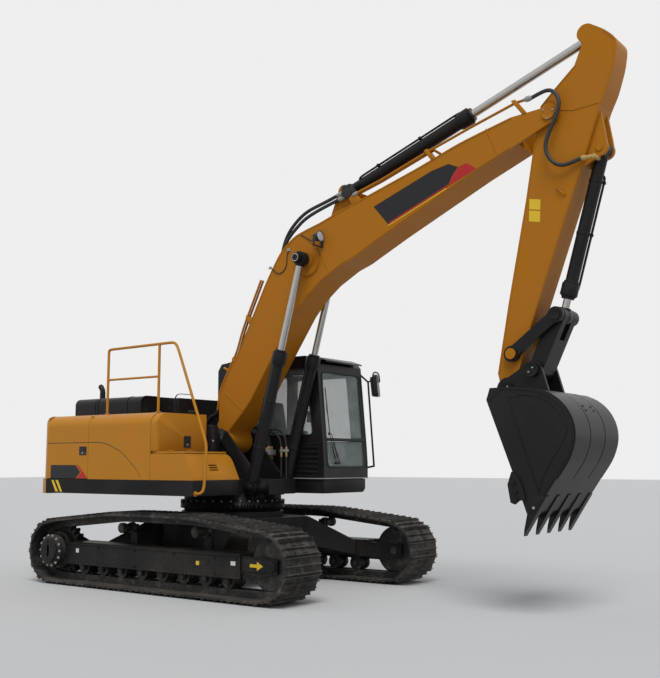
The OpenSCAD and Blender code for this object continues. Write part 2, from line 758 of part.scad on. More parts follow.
module boom() {
    color("#c9862b") {
        difference() {
            union() {
                slab(-boom_hw, boom_hw) boom_profile();
                disc(foot, 140, -boom_hw - boss, boom_hw + boss);
                disc(lift_pin, 194, -boom_hw - 22, boom_hw + 22);
                disc(lift_pin, 110, -boom_hw - 40, boom_hw + 40);
                both() slab(swing_r + side_gap, swing_r + side_gap + 36) union() {
                    polygon(concat(placed(foot, boom_angle, boom_k, [[2880, 1140], [3560, 880]]),
                        [arm_foot + [70, 20], arm_foot + [-60, 45]]));
                    spot(arm_foot, 82);
                }
            }
            // hollow box section, left solid round the bosses, and the fork at the tip
            slab(-boom_hw + 18, boom_hw - 18) difference() {
                offset(delta = -22) boom_profile();
                spot(foot, 200);
                spot(lift_pin, 120);
                spot(tip, 480);
            }
            slab(-fork_in, fork_in) spot(tip, 450);
            rod_between([mid(tip, foot, 0.02)[0], 0, mid(tip, foot, 0.02)[1] + 60],
                [mid(tip, foot, 0.12)[0], 0, mid(tip, foot, 0.12)[1] + 120], 45);
            disc(foot, 50 + pin_gap, -300, 300);
        }
        disc(tip, 50, -boom_hw - 8, boom_hw + 8);
        disc(arm_foot, 38, -swing_r - 54, swing_r + 54);
    }
}

// a hydraulic cylinder's barrel from its foot eye towards its head
module barrel(a, b, y, len, r, bore, rod_r, eye_r, eye_w) {
    translate([a[0], y, a[1]]) rotate([0, -heading(a, b), 0]) difference() {
        union() {
            rotate([90, 0, 0]) cylinder(r = eye_r, h = eye_w, center = true);
            translate([0, -eye_w / 2 + 4, -eye_r * 0.8]) cube([eye_r + 10, eye_w - 8, eye_r * 1.6]);
            translate([eye_r - 20, 0, 0]) rotate([0, 90, 0]) cylinder(r = r, h = len - eye_r + 20);
            translate([len - 115, 0, 0]) rotate([0, 90, 0]) cylinder(r = r + collar, h = 95);
        }
        rotate([90, 0, 0]) cylinder(r = eye_bore(eye_r), h = eye_w + 10, center = true);
        translate([eye_r + 25, 0, 0]) rotate([0, 90, 0]) cylinder(r = bore, h = len - eye_r - 85);
        translate([len - 100, 0, 0]) rotate([0, 90, 0]) cylinder(r = rod_r + pin_gap, h = 120);
    }
}
function eye_bore(eye_r) = eye_r > 80 ? 45 + pin_gap : 38 + pin_gap;

// the rod with its eye at b; the inner end lies rod_len behind the eye
module rod(a, b, y, rod_len, r, eye_r, eye_w) {
    translate([b[0], y, b[1]]) rotate([0, -heading(a, b), 0]) {
        rotate([90, 0, 0]) cylinder(r = eye_r, h = eye_w, center = true);
        translate([-rod_len, 0, 0]) rotate([0, 90, 0]) cylinder(r = r, h = rod_len);
    }
}

module boom_barrels() {
    color("#141517") for (s = [-1, 1])
        barrel(cyl_foot, lift_pin, s * cyl_y, 0.602 * lift_len, lift_r, 60, 42, 85, 92);
}

module boom_rods() {
    color("#b8bcc0") for (s = [-1, 1]) {
        rod(cyl_foot, lift_pin, s * cyl_y, 0.594 * lift_len, 42, 85, 96);
        disc(lift_pin, 50, s > 0 ? boom_hw + 40 + side_gap : -cyl_y - 125,
            s > 0 ? cyl_y + 125 : -boom_hw - 40 - side_gap);
    }
}

module arm_barrel() {
    color("#141517") barrel(arm_foot, arm_eye, 0, 0.549 * swing_len, swing_r, 68, 48, 80, swing_r * 2 - 4);
}

module arm_rod() {
    color("#b8bcc0") {
        rod(arm_foot, arm_eye, 0, 0.588 * swing_len, 48, 86, 110);
        disc(arm_eye, 50, -56, 56);
    }
}

arm_back = [[-949, 292], [-870, 468], [-765, 601], [-620, 622], [-500, 619], [-266, 588], [-75, 537],
    [365, 466], [909, 368], [1967, 181], [2250, 131], [2783, 62]];
arm_front = [[2860, -130], [2780, -165], [1996, -160], [922, -135], [443, -137], [180, -125], [-92, -127],
    [-266, -1], [-513, 190], [-645, 219]];
module arm_profile() {
    polygon(placed(tip, arm_angle, arm_k, concat(arm_back, arm_front)));
    spot(arm_eye, 100);
    spot(tip, 125);
    spot(hinge, 125);
}

arm_slot = [[-470, 130], [-824, 519], [-1193, 651], [-1262, -155], [-500, -155]];
module arm() {
    color("#a86c26") {
        difference() {
            union() {
                slab(-arm_hw, arm_hw) arm_profile();
                disc(tip, 112, -arm_hw - 8, arm_hw + 8);
                disc(hinge, 104, -arm_hw - 8, arm_hw + 8);
                both() slab(curl_r + side_gap, curl_r + side_gap + 36) union() {
                    polygon(placed(tip, arm_angle, arm_k, [[-120, 500], [43, 560], [215, 622], [300, 650],
                        [420, 610], [560, 400]]));
                    spot(curl_foot, 88);
                }
            }
            slab(-115, 115) polygon(placed(tip, arm_angle, arm_k, arm_slot));
            slab(-arm_hw + 16, arm_hw - 16) difference() {
                offset(delta = -18) arm_profile();
                spot(tip, 160);
                spot(hinge, 160);
                spot(rocker_pin, 80);
                polygon(placed(tip, arm_angle, arm_k, [[-470, 150] + [25, 0], [-424, 90], [-400, -300], [-1300, -300],
                    [-1300, 700], [-800, 540]]));
            }
            rod_between([arm_eye[0] + 60, 0, arm_eye[1] - 60], [arm_eye[0] + 120, 0, arm_eye[1] - 400], 40);
            disc(tip, 50 + pin_gap, -300, 300);
            disc(hinge, 45 + pin_gap, -300, 300);
        }
        both() disc(arm_eye, 88, 62, arm_hw - 5);
        disc(curl_foot, 38, -curl_r - 54, curl_r + 54);
        disc(rocker_pin, 40, -arm_hw - 75, arm_hw + 75);
        both() disc(rocker_pin, 58, arm_hw + 65, arm_hw + 80);
    }
}

module curl_barrel() {
    color("#141517") barrel(curl_foot, link_top, 0, 0.894 * curl_len, curl_r, 56, 40, 74, curl_r * 2 - 4);
}

module curl_rod() {
    color("#b8bcc0") {
        rod(curl_foot, link_top, 0, 0.874 * curl_len, 40, 74, rod_eye_w);
        disc(link_top, 40, -rod_eye_w / 2 - 2, rod_eye_w / 2 + 2);
    }
}

module rockers() {
    a = heading(rocker_pin, link_top);
    color("#17181a") both() slab(rocker_in, rocker_in + rocker_w) difference() {
        union() {
            spot(rocker_pin, 84);
            spot(link_top, 84);
            polygon([polar(rocker_pin, 62, a + 90), polar(link_top, 62, a + 90),
                polar(link_top, 62, a - 90), polar(rocker_pin, 62, a - 90)]);
        }
        spot(rocker_pin, 40 + pin_gap);
    }
}

module bucket_link() {
    a = heading(link_low, link_top);
    color("#17181a") difference() {
        union() {
            both() slab(rod_eye_w / 2 + side_gap, arm_hw) union() {
                spot(link_low, 86);
                spot(link_top, 88);
                polygon([polar(link_low, 82, a + 90), polar(link_top, 82, a + 90),
                    polar(link_top, 82, a - 90), polar(link_low, 82, a - 90)]);
            }
            slab(-rod_eye_w / 2 - side_gap - 1, rod_eye_w / 2 + side_gap + 1) union() {
                spot(link_low, 86);
                polygon([polar(link_low, 82, a + 90), polar(mid(link_low, link_top, 0.62), 82, a + 90),
                    polar(mid(link_low, link_top, 0.62), 82, a - 90), polar(link_low, 82, a - 90)]);
            }
        }
        disc(link_low, 40 + pin_gap, -300, 300);
    }
}

bucket_side_pts = [[113, -84], [3, -18], [29, 99], [67, 275], [109, 399], [169, 519], [248, 624], [352, 704],
    [470, 750], [585, 761], [693, 742], [795, 694], [901, 615], [1196, 300], [1299, 190], [1351, 90], [956, 41]];
bucket_mouth = [[1360, 85], [1330, 60], [956, -10], [113, -100], [80, 20], [130, 60]];
module bucket_side() {
    polygon(placed(hinge, bucket_angle, 1, bucket_side_pts));
}

module bucket() {
    bw = bucket_w / 2;
    color("#1b1c1f") difference() {
        union() {
            both() slab(bw - 32, bw) bucket_side();
            // wrapped back and floor, open at the mouth
            slab(-bw + 20, bw - 20) difference() {
                bucket_side();
                polygon(placed(hinge, bucket_angle, 1, [[150, -100], [152, 120], [170, 265], [205, 380],
                    [260, 485], [330, 570], [410, 640], [490, 690], [585, 712], [680, 692], [765, 650],
                    [860, 575], [1150, 265], [1250, 150], [1360, 60], [1000, -60]]));
            }
            // hinge plates
            both() slab(plate_in, plate_in + 40) union() {
                spot(hinge, 125);
                spot(link_low, 100);
                polygon(placed(hinge, bucket_angle, 1, [[160, -60], [0, -120], [-118, 20], [-220, 330],
                    [-130, 420], [150, 440], [180, 120]]));
            }
            both() slab(bw, bw + 22) polygon(placed(hinge, bucket_angle, 1, [[875, 27], [989, -43],
                [1167, -52], [1194, -10], [1166, 47], [1180, 110], [1062, 110], [940, 90]]));
            for (i = [-2:2]) slab(i * (bw - 40) / 2 - 42, i * (bw - 40) / 2 + 42)
                polygon(placed(hinge, bucket_angle, 1, [[1180, 330], [1509, 0], [1440, 25], [1260, 110],
                    [1170, 220]]));
        }
        // room for the arm's tip between the hinge plates
        slab(-plate_in, plate_in) spot(hinge, 142);
        slab(-plate_in, plate_in) polygon(placed(hinge, bucket_angle, 1, [[-200, 120], [180, 100],
            [260, -200], [-200, -200]]));
    }
    color("#1b1c1f") disc(hinge, 45, -plate_in - 47, plate_in + 47);
    color("#1b1c1f") disc(link_low, 40, -plate_in - 47, plate_in + 47);
}

car_body();
track_frames();
track_right();
track_left();
sprockets();
idlers();
rollers();
deck();
counterweight();
engine();
side_body();
pump_door();
left_door();
fuel_tank();
toolbox();
toolbox_lid();
muffler_cover();
hood();
exhaust();
valve_cover();
handrails();
cab_shell();
cab_glass();
cab_door();
door_glass();
seat();
cab_rail();
boom();
boom_barrels();
boom_rods();
arm_barrel();
arm_rod();
arm();
curl_barrel();
curl_rod();
rockers();
bucket_link();
bucket();
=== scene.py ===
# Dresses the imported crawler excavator: paint, steel, rubber, glass, and the small parts that the model leaves out.
# Metres, +X ahead, +Y to the cab's side, +Z up, the slew axis at the origin.
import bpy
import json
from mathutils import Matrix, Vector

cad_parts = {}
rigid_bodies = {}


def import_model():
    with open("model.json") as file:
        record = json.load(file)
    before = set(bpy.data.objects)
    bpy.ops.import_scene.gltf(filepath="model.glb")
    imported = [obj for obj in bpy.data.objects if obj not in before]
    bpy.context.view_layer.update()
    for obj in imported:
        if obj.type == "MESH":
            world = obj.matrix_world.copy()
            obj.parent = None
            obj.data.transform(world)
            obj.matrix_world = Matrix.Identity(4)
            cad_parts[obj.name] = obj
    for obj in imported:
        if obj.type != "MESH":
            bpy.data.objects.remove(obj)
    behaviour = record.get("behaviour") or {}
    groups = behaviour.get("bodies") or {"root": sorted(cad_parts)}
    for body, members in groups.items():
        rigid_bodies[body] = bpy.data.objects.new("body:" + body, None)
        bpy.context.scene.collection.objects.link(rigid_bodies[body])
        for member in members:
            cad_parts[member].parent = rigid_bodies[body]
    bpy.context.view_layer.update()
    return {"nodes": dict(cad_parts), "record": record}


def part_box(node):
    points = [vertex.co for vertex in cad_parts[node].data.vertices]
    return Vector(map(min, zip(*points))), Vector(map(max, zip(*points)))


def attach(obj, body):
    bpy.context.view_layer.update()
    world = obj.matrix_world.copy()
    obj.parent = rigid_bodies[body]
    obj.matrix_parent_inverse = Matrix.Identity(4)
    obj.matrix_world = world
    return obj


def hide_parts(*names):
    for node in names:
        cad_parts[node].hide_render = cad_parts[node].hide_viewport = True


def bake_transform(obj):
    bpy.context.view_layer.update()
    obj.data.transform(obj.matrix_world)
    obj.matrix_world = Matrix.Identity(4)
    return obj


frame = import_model()

import json
import math

import bpy
from mathutils import Matrix, Vector

print("frame loaded:", len(frame["nodes"]), "nodes")
nodes = frame["nodes"]


# ---- shader maths: an output socket that can be added, multiplied and so on
class Wire:
    def __init__(self, maker, socket):
        self.maker, self.socket = maker, socket

    def __add__(self, other):
        return self.maker.calc("ADD", self, other)

    __radd__ = __add__

    def __sub__(self, other):
        return self.maker.calc("SUBTRACT", self, other)

    def __rsub__(self, other):
        return self.maker.calc("SUBTRACT", other, self)

    def __mul__(self, other):
        return self.maker.calc("MULTIPLY", self, other)

    __rmul__ = __mul__

    def clamp(self):
        return self.maker.node("Clamp", {}, {"Value": self})


class Maker:
    def __init__(self, name):
        self.material = bpy.data.materials.new(name)
        self.material.use_nodes = True
        self.tree = self.material.node_tree
        self.tree.nodes.clear()

    def node(self, kind, settings=None, values=None, out=0):
        made = self.tree.nodes.new("ShaderNode" + kind)
        for key, value in (settings or {}).items():
            setattr(made, key, value)
        for key, value in (values or {}).items():
            self.feed(made.inputs[key], value)
        return Wire(self, made.outputs[out])

    def feed(self, socket, value):
        if isinstance(value, Wire):
            self.tree.links.new(value.socket, socket)
        else:
            socket.default_value = value

    def calc(self, operation, a, b):
        return self.node("Math", {"operation": operation}, {0: a, 1: b})

    def blend(self, factor, a, b):
        return self.node("Mix", {"data_type": "RGBA"}, {0: factor, 6: a, 7: b}, 2)

    def place(self):
        return self.node("TexCoord", out="Object")

    def noise(self, scale, detail=3.0, rough=0.5):
        return self.node("TexNoise", {}, {"Vector": self.place(), "Scale": scale, "Detail": detail,
                                          "Roughness": rough})

    def split(self, vector, letter):
        return self.node("SeparateXYZ", {}, {"Vector": vector}, letter)

    def upward(self):  # 1 on faces that look up, 0 on walls
        return ((self.split(self.node("TexCoord", out="Normal"), "Z") - 0.55) * 2.4).clamp()

    def ramp(self, value, low, high):
        return self.node("MapRange", {"clamp": True}, {"Value": value, "From Min": low, "From Max": high})

    def surface(self, **values):
        shader = self.tree.nodes.new("ShaderNodeBsdfPrincipled")
        for key, value in values.items():
            self.feed(shader.inputs[key.replace("_", " ")], value)
        output = self.tree.nodes.new("ShaderNodeOutputMaterial")
        self.tree.links.new(shader.outputs[0], output.inputs["Surface"])
        return self.material

    def bump(self, height, strength, distance=0.002):
        return self.node("Bump", {}, {"Height": height, "Strength": strength, "Distance": distance})


def shade(r, g, b):
    return (r, g, b, 1.0)


def paint(name, colour, rough, dust, dustColour=shade(0.30, 0.25, 0.19), coat=0.10, grime=0.0, low=0.0, gloss=0.22):
    m = Maker(name)
    patches = m.noise(1.7, 4.0, 0.55)
    fine = m.noise(31.0, 3.0)
    grit = m.noise(260.0, 2.0)
    tone = m.blend(patches * 0.5, colour, shade(*(c * 0.86 for c in colour[:3])))
    settled = m.upward() * m.ramp(fine * 0.5 + patches * 0.5, 0.36, 0.7) * dust
    sides = m.ramp(patches + fine * 0.35, 0.62, 0.95) * grime
    height = m.split(m.place(), "Z")
    foot = m.ramp(height, low, low - 0.7) * m.ramp(fine * 0.4 + patches * 0.6, 0.3, 0.72) * grime * 2.0
    layer = (settled + sides + foot).clamp()
    return m.surface(
        Base_Color=m.blend(layer, tone, dustColour),
        Roughness=(rough + fine * 0.10 + layer * 0.35 - 0.05).clamp(),
        Coat_Weight=((1.0 - layer) * coat).clamp(), Coat_Roughness=0.18, Specular_IOR_Level=gloss,
        Normal=m.bump(grit, 0.05, 0.0006))


def trackSteel(name):
    m = Maker(name)
    fine = m.noise(42.0, 4.0, 0.6)
    patches = m.noise(3.1, 4.0, 0.6)
    grit = m.noise(180.0, 3.0)
    rub = m.ramp(m.noise(9.0, 5.0, 0.65), 0.52, 0.66)
    base = m.blend(rub, shade(0.018, 0.018, 0.018), shade(0.075, 0.072, 0.068))
    dust = m.ramp(fine * 0.55 + patches * 0.6, 0.5, 0.78) * 0.55 + m.upward() * 0.35
    return m.surface(
        Base_Color=m.blend((dust * 0.6).clamp(), base, shade(0.16, 0.135, 0.105)),
        Metallic=((1.0 - dust) * 0.55).clamp(), Roughness=(0.48 + fine * 0.3).clamp(),
        Normal=m.bump(grit * 0.5 + fine * 0.5, 0.25, 0.0015))


def chromeRod(name):
    m = Maker(name)
    streak = m.noise(14.0, 3.0)
    return m.surface(Base_Color=m.blend(streak, shade(0.40, 0.395, 0.38), shade(0.52, 0.51, 0.49)), Metallic=1.0,
                     Roughness=(0.10 + streak * 0.10).clamp())


def pane(name, tint, alpha):
    m = Maker(name)
    smear = m.noise(5.0, 3.0, 0.6)
    film = m.ramp(smear, 0.45, 0.8)
    return m.surface(Base_Color=m.blend(film, tint, shade(0.55, 0.58, 0.58)),
                     Roughness=(0.03 + film * 0.06).clamp(),
                     Alpha=(alpha + film * 0.05).clamp(), IOR=1.45, Specular_IOR_Level=0.6)


def rubber(name, colour=shade(0.014, 0.014, 0.015), rough=0.55):
    m = Maker(name)
    fine = m.noise(60.0, 3.0)
    dust = m.ramp(fine * 0.5 + m.noise(4.0, 3.0) * 0.5, 0.5, 0.75)
    return m.surface(Base_Color=m.blend(dust * 0.35, colour, shade(0.10, 0.09, 0.075)),
                     Roughness=(rough + dust * 0.2).clamp(),
                     Normal=m.bump(m.noise(320.0, 2.0), 0.15, 0.0006))


def cloth(name, colour):
    m = Maker(name)
    here = m.place()
    weave = m.node("TexWave", {"bands_direction": "Y"}, {"Vector": here, "Scale": 180.0, "Distortion": 0.6}, 1)
    cross = m.node("TexWave", {"bands_direction": "Z"}, {"Vector": here, "Scale": 180.0, "Distortion": 0.6}, 1)
    worn = m.noise(8.0, 4.0)
    return m.surface(Base_Color=m.blend(worn * 0.4 + weave * cross * 0.3, colour,
                                        shade(*(min(1, c * 2.2) for c in colour[:3]))),
                     Roughness=(0.82 + worn * 0.12).clamp(), Sheen_Weight=0.3,
                     Normal=m.bump(weave * cross, 0.25, 0.0005))


yellowRgb = shade(0.47, 0.190, 0.012)
armShadeRgb = shade(0.42, 0.155, 0.008)  # the arm and boom get the body paint made darker and deeper: painted shade
materials = {
    "yellow": paint("yellowPaint", yellowRgb, 0.36, 0.16, coat=0.06, grime=0.05, low=1.3, gloss=0.14),
    # painted shade: the arm and boom paint is a darker copy of the body paint
    "arm_yellow": paint("armYellowPaint", armShadeRgb, 0.40, 0.12, coat=0.04, grime=0.04, low=0.4, gloss=0.10),
    "black": paint("blackPaint", shade(0.011, 0.011, 0.012), 0.36, 0.08, coat=0.06, grime=0.03, low=0.5,
                   gloss=0.14),
    "cab_black": paint("cabBlackPaint", shade(0.010, 0.010, 0.012), 0.34, 0.10, grime=0.03, low=1.0, gloss=0.18),
    "chassis_black": paint("chassisBlackPaint", shade(0.010, 0.010, 0.011), 0.44, 0.14, coat=0.05, grime=0.05,
                           low=0.8, gloss=0.10),
    "track_steel": trackSteel("trackSteel"),
    "chrome": chromeRod("polishedRod"),
    "glass": pane("cabPane", shade(0.30, 0.37, 0.36), 0.30),
    "seat": cloth("seatCloth", shade(0.03, 0.03, 0.034)),
    "engine": paint("engineGrey", shade(0.10, 0.10, 0.11), 0.6, 0.3, grime=0.2, low=1.5),
}
extra = {
    "rubber": rubber("hoseRubber"),
    "seal": rubber("windowSeal", shade(0.010, 0.010, 0.011), 0.62),
    "zinc": paint("zincSteel", shade(0.34, 0.33, 0.31), 0.42, 0.1, coat=0.0),
    "brass": paint("brassFitting", shade(0.50, 0.34, 0.12), 0.35, 0.1, coat=0.0),
    "labelWhite": paint("labelWhite", shade(0.66, 0.66, 0.64), 0.5, 0.2),
    "labelYellow": paint("labelYellow", shade(0.75, 0.50, 0.03), 0.45, 0.1),
    "labelRed": paint("labelRed", shade(0.45, 0.02, 0.02), 0.4, 0.1),
    "lampPane": pane("lampPane", shade(0.60, 0.62, 0.62), 0.75),
    "labelBlack": paint("labelBlack", shade(0.014, 0.014, 0.016), 0.4, 0.1),
}
print("materials made:", len(materials) + len(extra))

slotOf = {entry["node"]: entry["material_slot"] for entry in frame["record"]["subparts"]}
for name, piece in nodes.items():
    piece.data.materials.clear()
    piece.data.materials.append(materials[slotOf[name]])


# ---- camera, light and floor
cameraSet = {"place": (8.649, -9.562, 1.501), "yaw": 126.567, "pitch": 7.179, "lens": 52.26}
bpy.ops.object.select_all(action="DESELECT")
bpy.ops.object.camera_add(location=cameraSet["place"])
camera = bpy.context.object
yaw, pitch = math.radians(cameraSet["yaw"]), math.radians(cameraSet["pitch"])
forward = Vector((math.cos(pitch) * math.cos(yaw), math.cos(pitch) * math.sin(yaw), math.sin(pitch)))
camera.rotation_euler = forward.to_track_quat("-Z", "Y").to_euler()
camera.data.lens = cameraSet["lens"]
camera.data.sensor_width = 36.0
camera.data.clip_end = 500.0
bpy.context.scene.camera = camera

lightSet = {"worldLevel": 0.52, "sunLevel": 2.1, "sunAngle": 30.0, "sunAt": (3.6, -4.4, 9.0), "floor": 0.50,
            "backdrop": 0.86}
bpy.ops.object.light_add(type="SUN", location=lightSet["sunAt"])
sun = bpy.context.object
sun.data.energy = lightSet["sunLevel"]
sun.data.angle = math.radians(lightSet["sunAngle"])
sun.rotation_euler = (-Vector(lightSet["sunAt"])).to_track_quat("-Z", "Y").to_euler()

world = bpy.data.worlds.new("studio")
bpy.context.scene.world = world
world.use_nodes = True
skyNodes, skyLinks = world.node_tree.nodes, world.node_tree.links
skyNodes.clear()
path = skyNodes.new("ShaderNodeLightPath")
seen = path.outputs["Is Camera Ray"]
for kind in ("Is Transmission Ray", "Is Glossy Ray"):
    larger = skyNodes.new("ShaderNodeMath")
    larger.operation = "MAXIMUM"
    skyLinks.new(seen, larger.inputs[0])
    skyLinks.new(path.outputs[kind], larger.inputs[1])
    seen = larger.outputs[0]
skies = []
for colour, strength in ((shade(0.92, 0.96, 1.0), lightSet["worldLevel"]),
                         (shade(*[lightSet["backdrop"]] * 3), 1.0)):
    sky = skyNodes.new("ShaderNodeBackground")
    sky.inputs["Color"].default_value = colour
    sky.inputs["Strength"].default_value = strength
    skies.append(sky)
mixed = skyNodes.new("ShaderNodeMixShader")
skyLinks.new(seen, mixed.inputs[0])
for i, sky in enumerate(skies):
    skyLinks.new(sky.outputs[0], mixed.inputs[i + 1])
skyLinks.new(mixed.outputs[0], skyNodes.new("ShaderNodeOutputWorld").inputs[0])

bpy.ops.mesh.primitive_plane_add(size=160.0, location=(0, 0, -0.002))
floor = bpy.context.object
floor.name = "studioFloor"
ground = Maker("floorPale")
floor.data.materials.append(ground.surface(Base_Color=shade(*[lightSet["floor"]] * 3), Roughness=0.9))
bpy.context.scene.view_settings.view_transform = "Standard"
print("camera, light and floor set")


# ---- helpers for the modelled parts
def nothing():
    if bpy.context.object and bpy.context.object.mode != "OBJECT":
        bpy.ops.object.mode_set(mode="OBJECT")
    bpy.ops.object.select_all(action="DESELECT")


def only(*pieces):
    nothing()
    for piece in pieces:
        piece.select_set(True)
    bpy.context.view_layer.objects.active = pieces[0]
    return pieces[0]


def settle(piece):  # place, turn and size go into the mesh
    only(piece)
    bpy.ops.object.transform_apply(location=True, rotation=True, scale=True)
    return piece


def block(low, high):
    nothing()
    bpy.ops.mesh.primitive_cube_add(size=1, location=[(a + b) / 2 for a, b in zip(low, high)])
    piece = bpy.context.object
    piece.scale = [b - a for a, b in zip(low, high)]
    return settle(piece)


def rod(start, end, radius, sides=24, tip=None):
    nothing()
    a, b = Vector(start), Vector(end)
    if tip is None:
        bpy.ops.mesh.primitive_cylinder_add(vertices=sides, radius=radius, depth=(b - a).length,
                                            location=(a + b) / 2)
    else:
        bpy.ops.mesh.primitive_cone_add(vertices=sides, radius1=radius, radius2=tip, depth=(b - a).length,
                                        location=(a + b) / 2)
    piece = bpy.context.object
    piece.rotation_euler = (b - a).to_track_quat("Z", "Y").to_euler()
    return settle(piece)


def hose(points, radius, sides=4, closed=False, smooth=True):
    nothing()
    bpy.ops.curve.primitive_nurbs_path_add()
    piece = bpy.context.object
    curve = piece.data
    curve.splines.clear()
    line = curve.splines.new("NURBS" if smooth else "POLY")
    line.points.add(len(points) - 1)
    for spot, place in zip(line.points, points):
        spot.co = (*place, 1.0)
    line.use_cyclic_u = closed
    line.use_endpoint_u = not closed
    line.order_u = min(4, len(points))
    line.resolution_u = 6
    piece.location = (0, 0, 0)
    curve.dimensions = "3D"
    curve.bevel_depth = radius
    curve.bevel_resolution = sides
    curve.use_fill_caps = not closed
    bpy.ops.object.convert(target="MESH")
    return settle(bpy.context.object)


def outwards(piece):  # normals that look out of the form
    only(piece)
    bpy.ops.object.mode_set(mode="EDIT")
    bpy.ops.mesh.select_all(action="SELECT")
    bpy.ops.mesh.normals_make_consistent(inside=False)
    bpy.ops.object.mode_set(mode="OBJECT")


def sheetOf(outline, thickness,
            lift):  # a flat outline turned by lift into space, with a thickness along its normal
    nothing()
    bpy.ops.mesh.primitive_circle_add(vertices=len(outline), radius=1, fill_type="NGON")
    piece = bpy.context.object
    for corner, spot in zip(piece.data.vertices, outline):
        corner.co = lift(*spot)
    outwards(piece)
    thick = piece.modifiers.new("thick", "SOLIDIFY")
    thick.thickness, thick.offset = thickness, 0.0
    bpy.ops.object.modifier_apply(modifier="thick")
    return settle(piece)


def choose(piece, test):  # edit mode with the faces that pass the test
    only(piece)
    for face in piece.data.polygons:
        face.select = bool(test(face.center, face.normal))
    for edge in piece.data.edges:
        edge.select = False
    for corner in piece.data.vertices:
        corner.select = False
    bpy.ops.object.mode_set(mode="EDIT")
    bpy.ops.mesh.select_mode(type="FACE")


def pressed(piece, test, border, depth):  # inset the chosen faces and push them in or out
    choose(piece, test)
    bpy.ops.mesh.inset(thickness=border, depth=depth)
    bpy.ops.object.mode_set(mode="OBJECT")
    return piece


def eased(piece, width, segments=2, angle=30):
    only(piece)
    bevel = piece.modifiers.new("edge", "BEVEL")
    bevel.width, bevel.segments, bevel.limit_method = width, segments, "ANGLE"
    bevel.angle_limit = math.radians(angle)
    bpy.ops.object.modifier_apply(modifier="edge")
    bpy.ops.object.shade_smooth_by_angle(angle=math.radians(40))
    return piece


def smoothed(piece, angle=40):
    only(piece)
    bpy.ops.object.shade_smooth_by_angle(angle=math.radians(angle))
    return piece


def joined(pieces):
    if len(pieces) > 1:
        only(*pieces)
        bpy.ops.object.join()
    return pieces[0]


def turnedTo(direction, roll=0.0):
    return Vector(direction).to_track_quat("Z", "Y").to_matrix().to_4x4() @ Matrix.Rotation(roll, 4, "Z")


def twinOf(piece, change):  # one more with its own mesh, moved by a matrix
    mesh = piece.data.copy()
    mesh.transform(change)
    twin = bpy.data.objects.new(piece.name + "Copy", mesh)
    bpy.context.collection.objects.link(twin)
    return twin


def copies(model, places):  # one copy with its own mesh for each (point, direction[, roll]); the model goes
    made = []
    for place in places:
        point, direction = place[0], place[1]
        roll = place[2] if len(place) > 2 else 0.0
        made.append(twinOf(model, Matrix.Translation(Vector(point)) @ turnedTo(direction, roll)))
    bpy.data.objects.remove(model)
    return joined(made)


def add(piece, name, finish, body):
    piece.name = name
    piece.data.materials.clear()
    piece.data.materials.append(finish)
    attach(piece, body)
    return piece


def met(piece, other, way="INTERSECT"):  # what two closed forms share, or one less the other
    only(piece)
    cut = piece.modifiers.new("cut", "BOOLEAN")
    cut.operation, cut.object, cut.solver = way, other, "EXACT"
    bpy.ops.object.modifier_apply(modifier="cut")
    bpy.data.objects.remove(other)
    return piece


def roundedEdges(piece, test, width, segments=6):  # bevel the edges that pass the test
    only(piece)
    spots = piece.data.vertices
    for face in piece.data.polygons:
        face.select = False
    for corner in spots:
        corner.select = False
    for edge in piece.data.edges:
        a, b = spots[edge.vertices[0]].co, spots[edge.vertices[1]].co
        edge.select = bool(test((a + b) / 2, (b - a).normalized()))
    bpy.ops.object.mode_set(mode="EDIT")
    bpy.ops.mesh.select_mode(type="EDGE")
    bpy.ops.mesh.bevel(offset=width, segments=segments, affect="EDGES")
    bpy.ops.object.mode_set(mode="OBJECT")
    return piece


def slabX(outline, x0, x1):  # an outline of y and z drawn out along x
    return sheetOf(outline, x1 - x0, lambda u, v: ((x0 + x1) / 2, u, v))


def slabY(outline, y0, y1):
    return sheetOf(outline, y1 - y0, lambda u, v: (u, (y0 + y1) / 2, v))


def slabZ(outline, z0, z1):
    return sheetOf(outline, z1 - z0, lambda u, v: (u, v, (z0 + z1) / 2))


def easedAll(pieces, width, segments=2):
    return joined([eased(piece, width, segments) for piece in pieces])


def hexBolt(radius, height):  # washer and head, standing on z = 0
    washer = rod((0, 0, 0), (0, 0, height * 0.25), radius * 1.35, 16)
    head = rod((0, 0, height * 0.2), (0, 0, height), radius, 6)
    eased(head, radius * 0.12, 1)
    return joined([head, washer])


def facing(x=0, y=0, z=0):  # picks the faces that look this way
    way = Vector((x, y, z))
    return lambda c, n: n.dot(way) > 0.9


def eitherSide(c, n):  # faces that look left or right
    return abs(n.y) > 0.9


def about(piece, point, change):  # turn or stretch a piece about a point
    here = Matrix.Translation(point)
    piece.data.transform(here @ change @ here.inverted())


def wallBlock(x0, x1, face, rise, z0, z1):  # stands on a side wall, out by rise
    return block((x0, min(face, face + rise), z0), (x1, max(face, face + rise), z1))


def capScrew(radius, height):
    head = rod((0, 0, 0), (0, 0, height), radius, 16)
    pressed(head, facing(z=1), radius * 0.45, -height * 0.4)
    return eased(head, radius * 0.1, 1)


def disc(x, z, y0, y1, radius, border, depth, ease, sides=32):  # a cap on a side wall, its outer face inset
    out = 1 if y1 > y0 else -1
    piece = rod((x, y0, z), (x, y1, z), radius, sides)
    pressed(piece, facing(y=out), border, depth)
    return eased(piece, ease)


def polar(origin, radius, degrees):
    return (origin[0] + radius * math.cos(math.radians(degrees)),
            origin[1] + radius * math.sin(math.radians(degrees)))


def placedAt(origin, degrees, spot):
    c, s = math.cos(math.radians(degrees)), math.sin(math.radians(degrees))
    return (origin[0] + spot[0] * c - spot[1] * s, origin[1] + spot[0] * s + spot[1] * c)


def placer(origin, degrees):  # from a part's own lengths in mm, along and across, to its place at rest
    def at(u, v, y=0.0):
        x, z = placedAt(origin, degrees, (u / 1000, v / 1000))
        return (x, y, z)
    return at


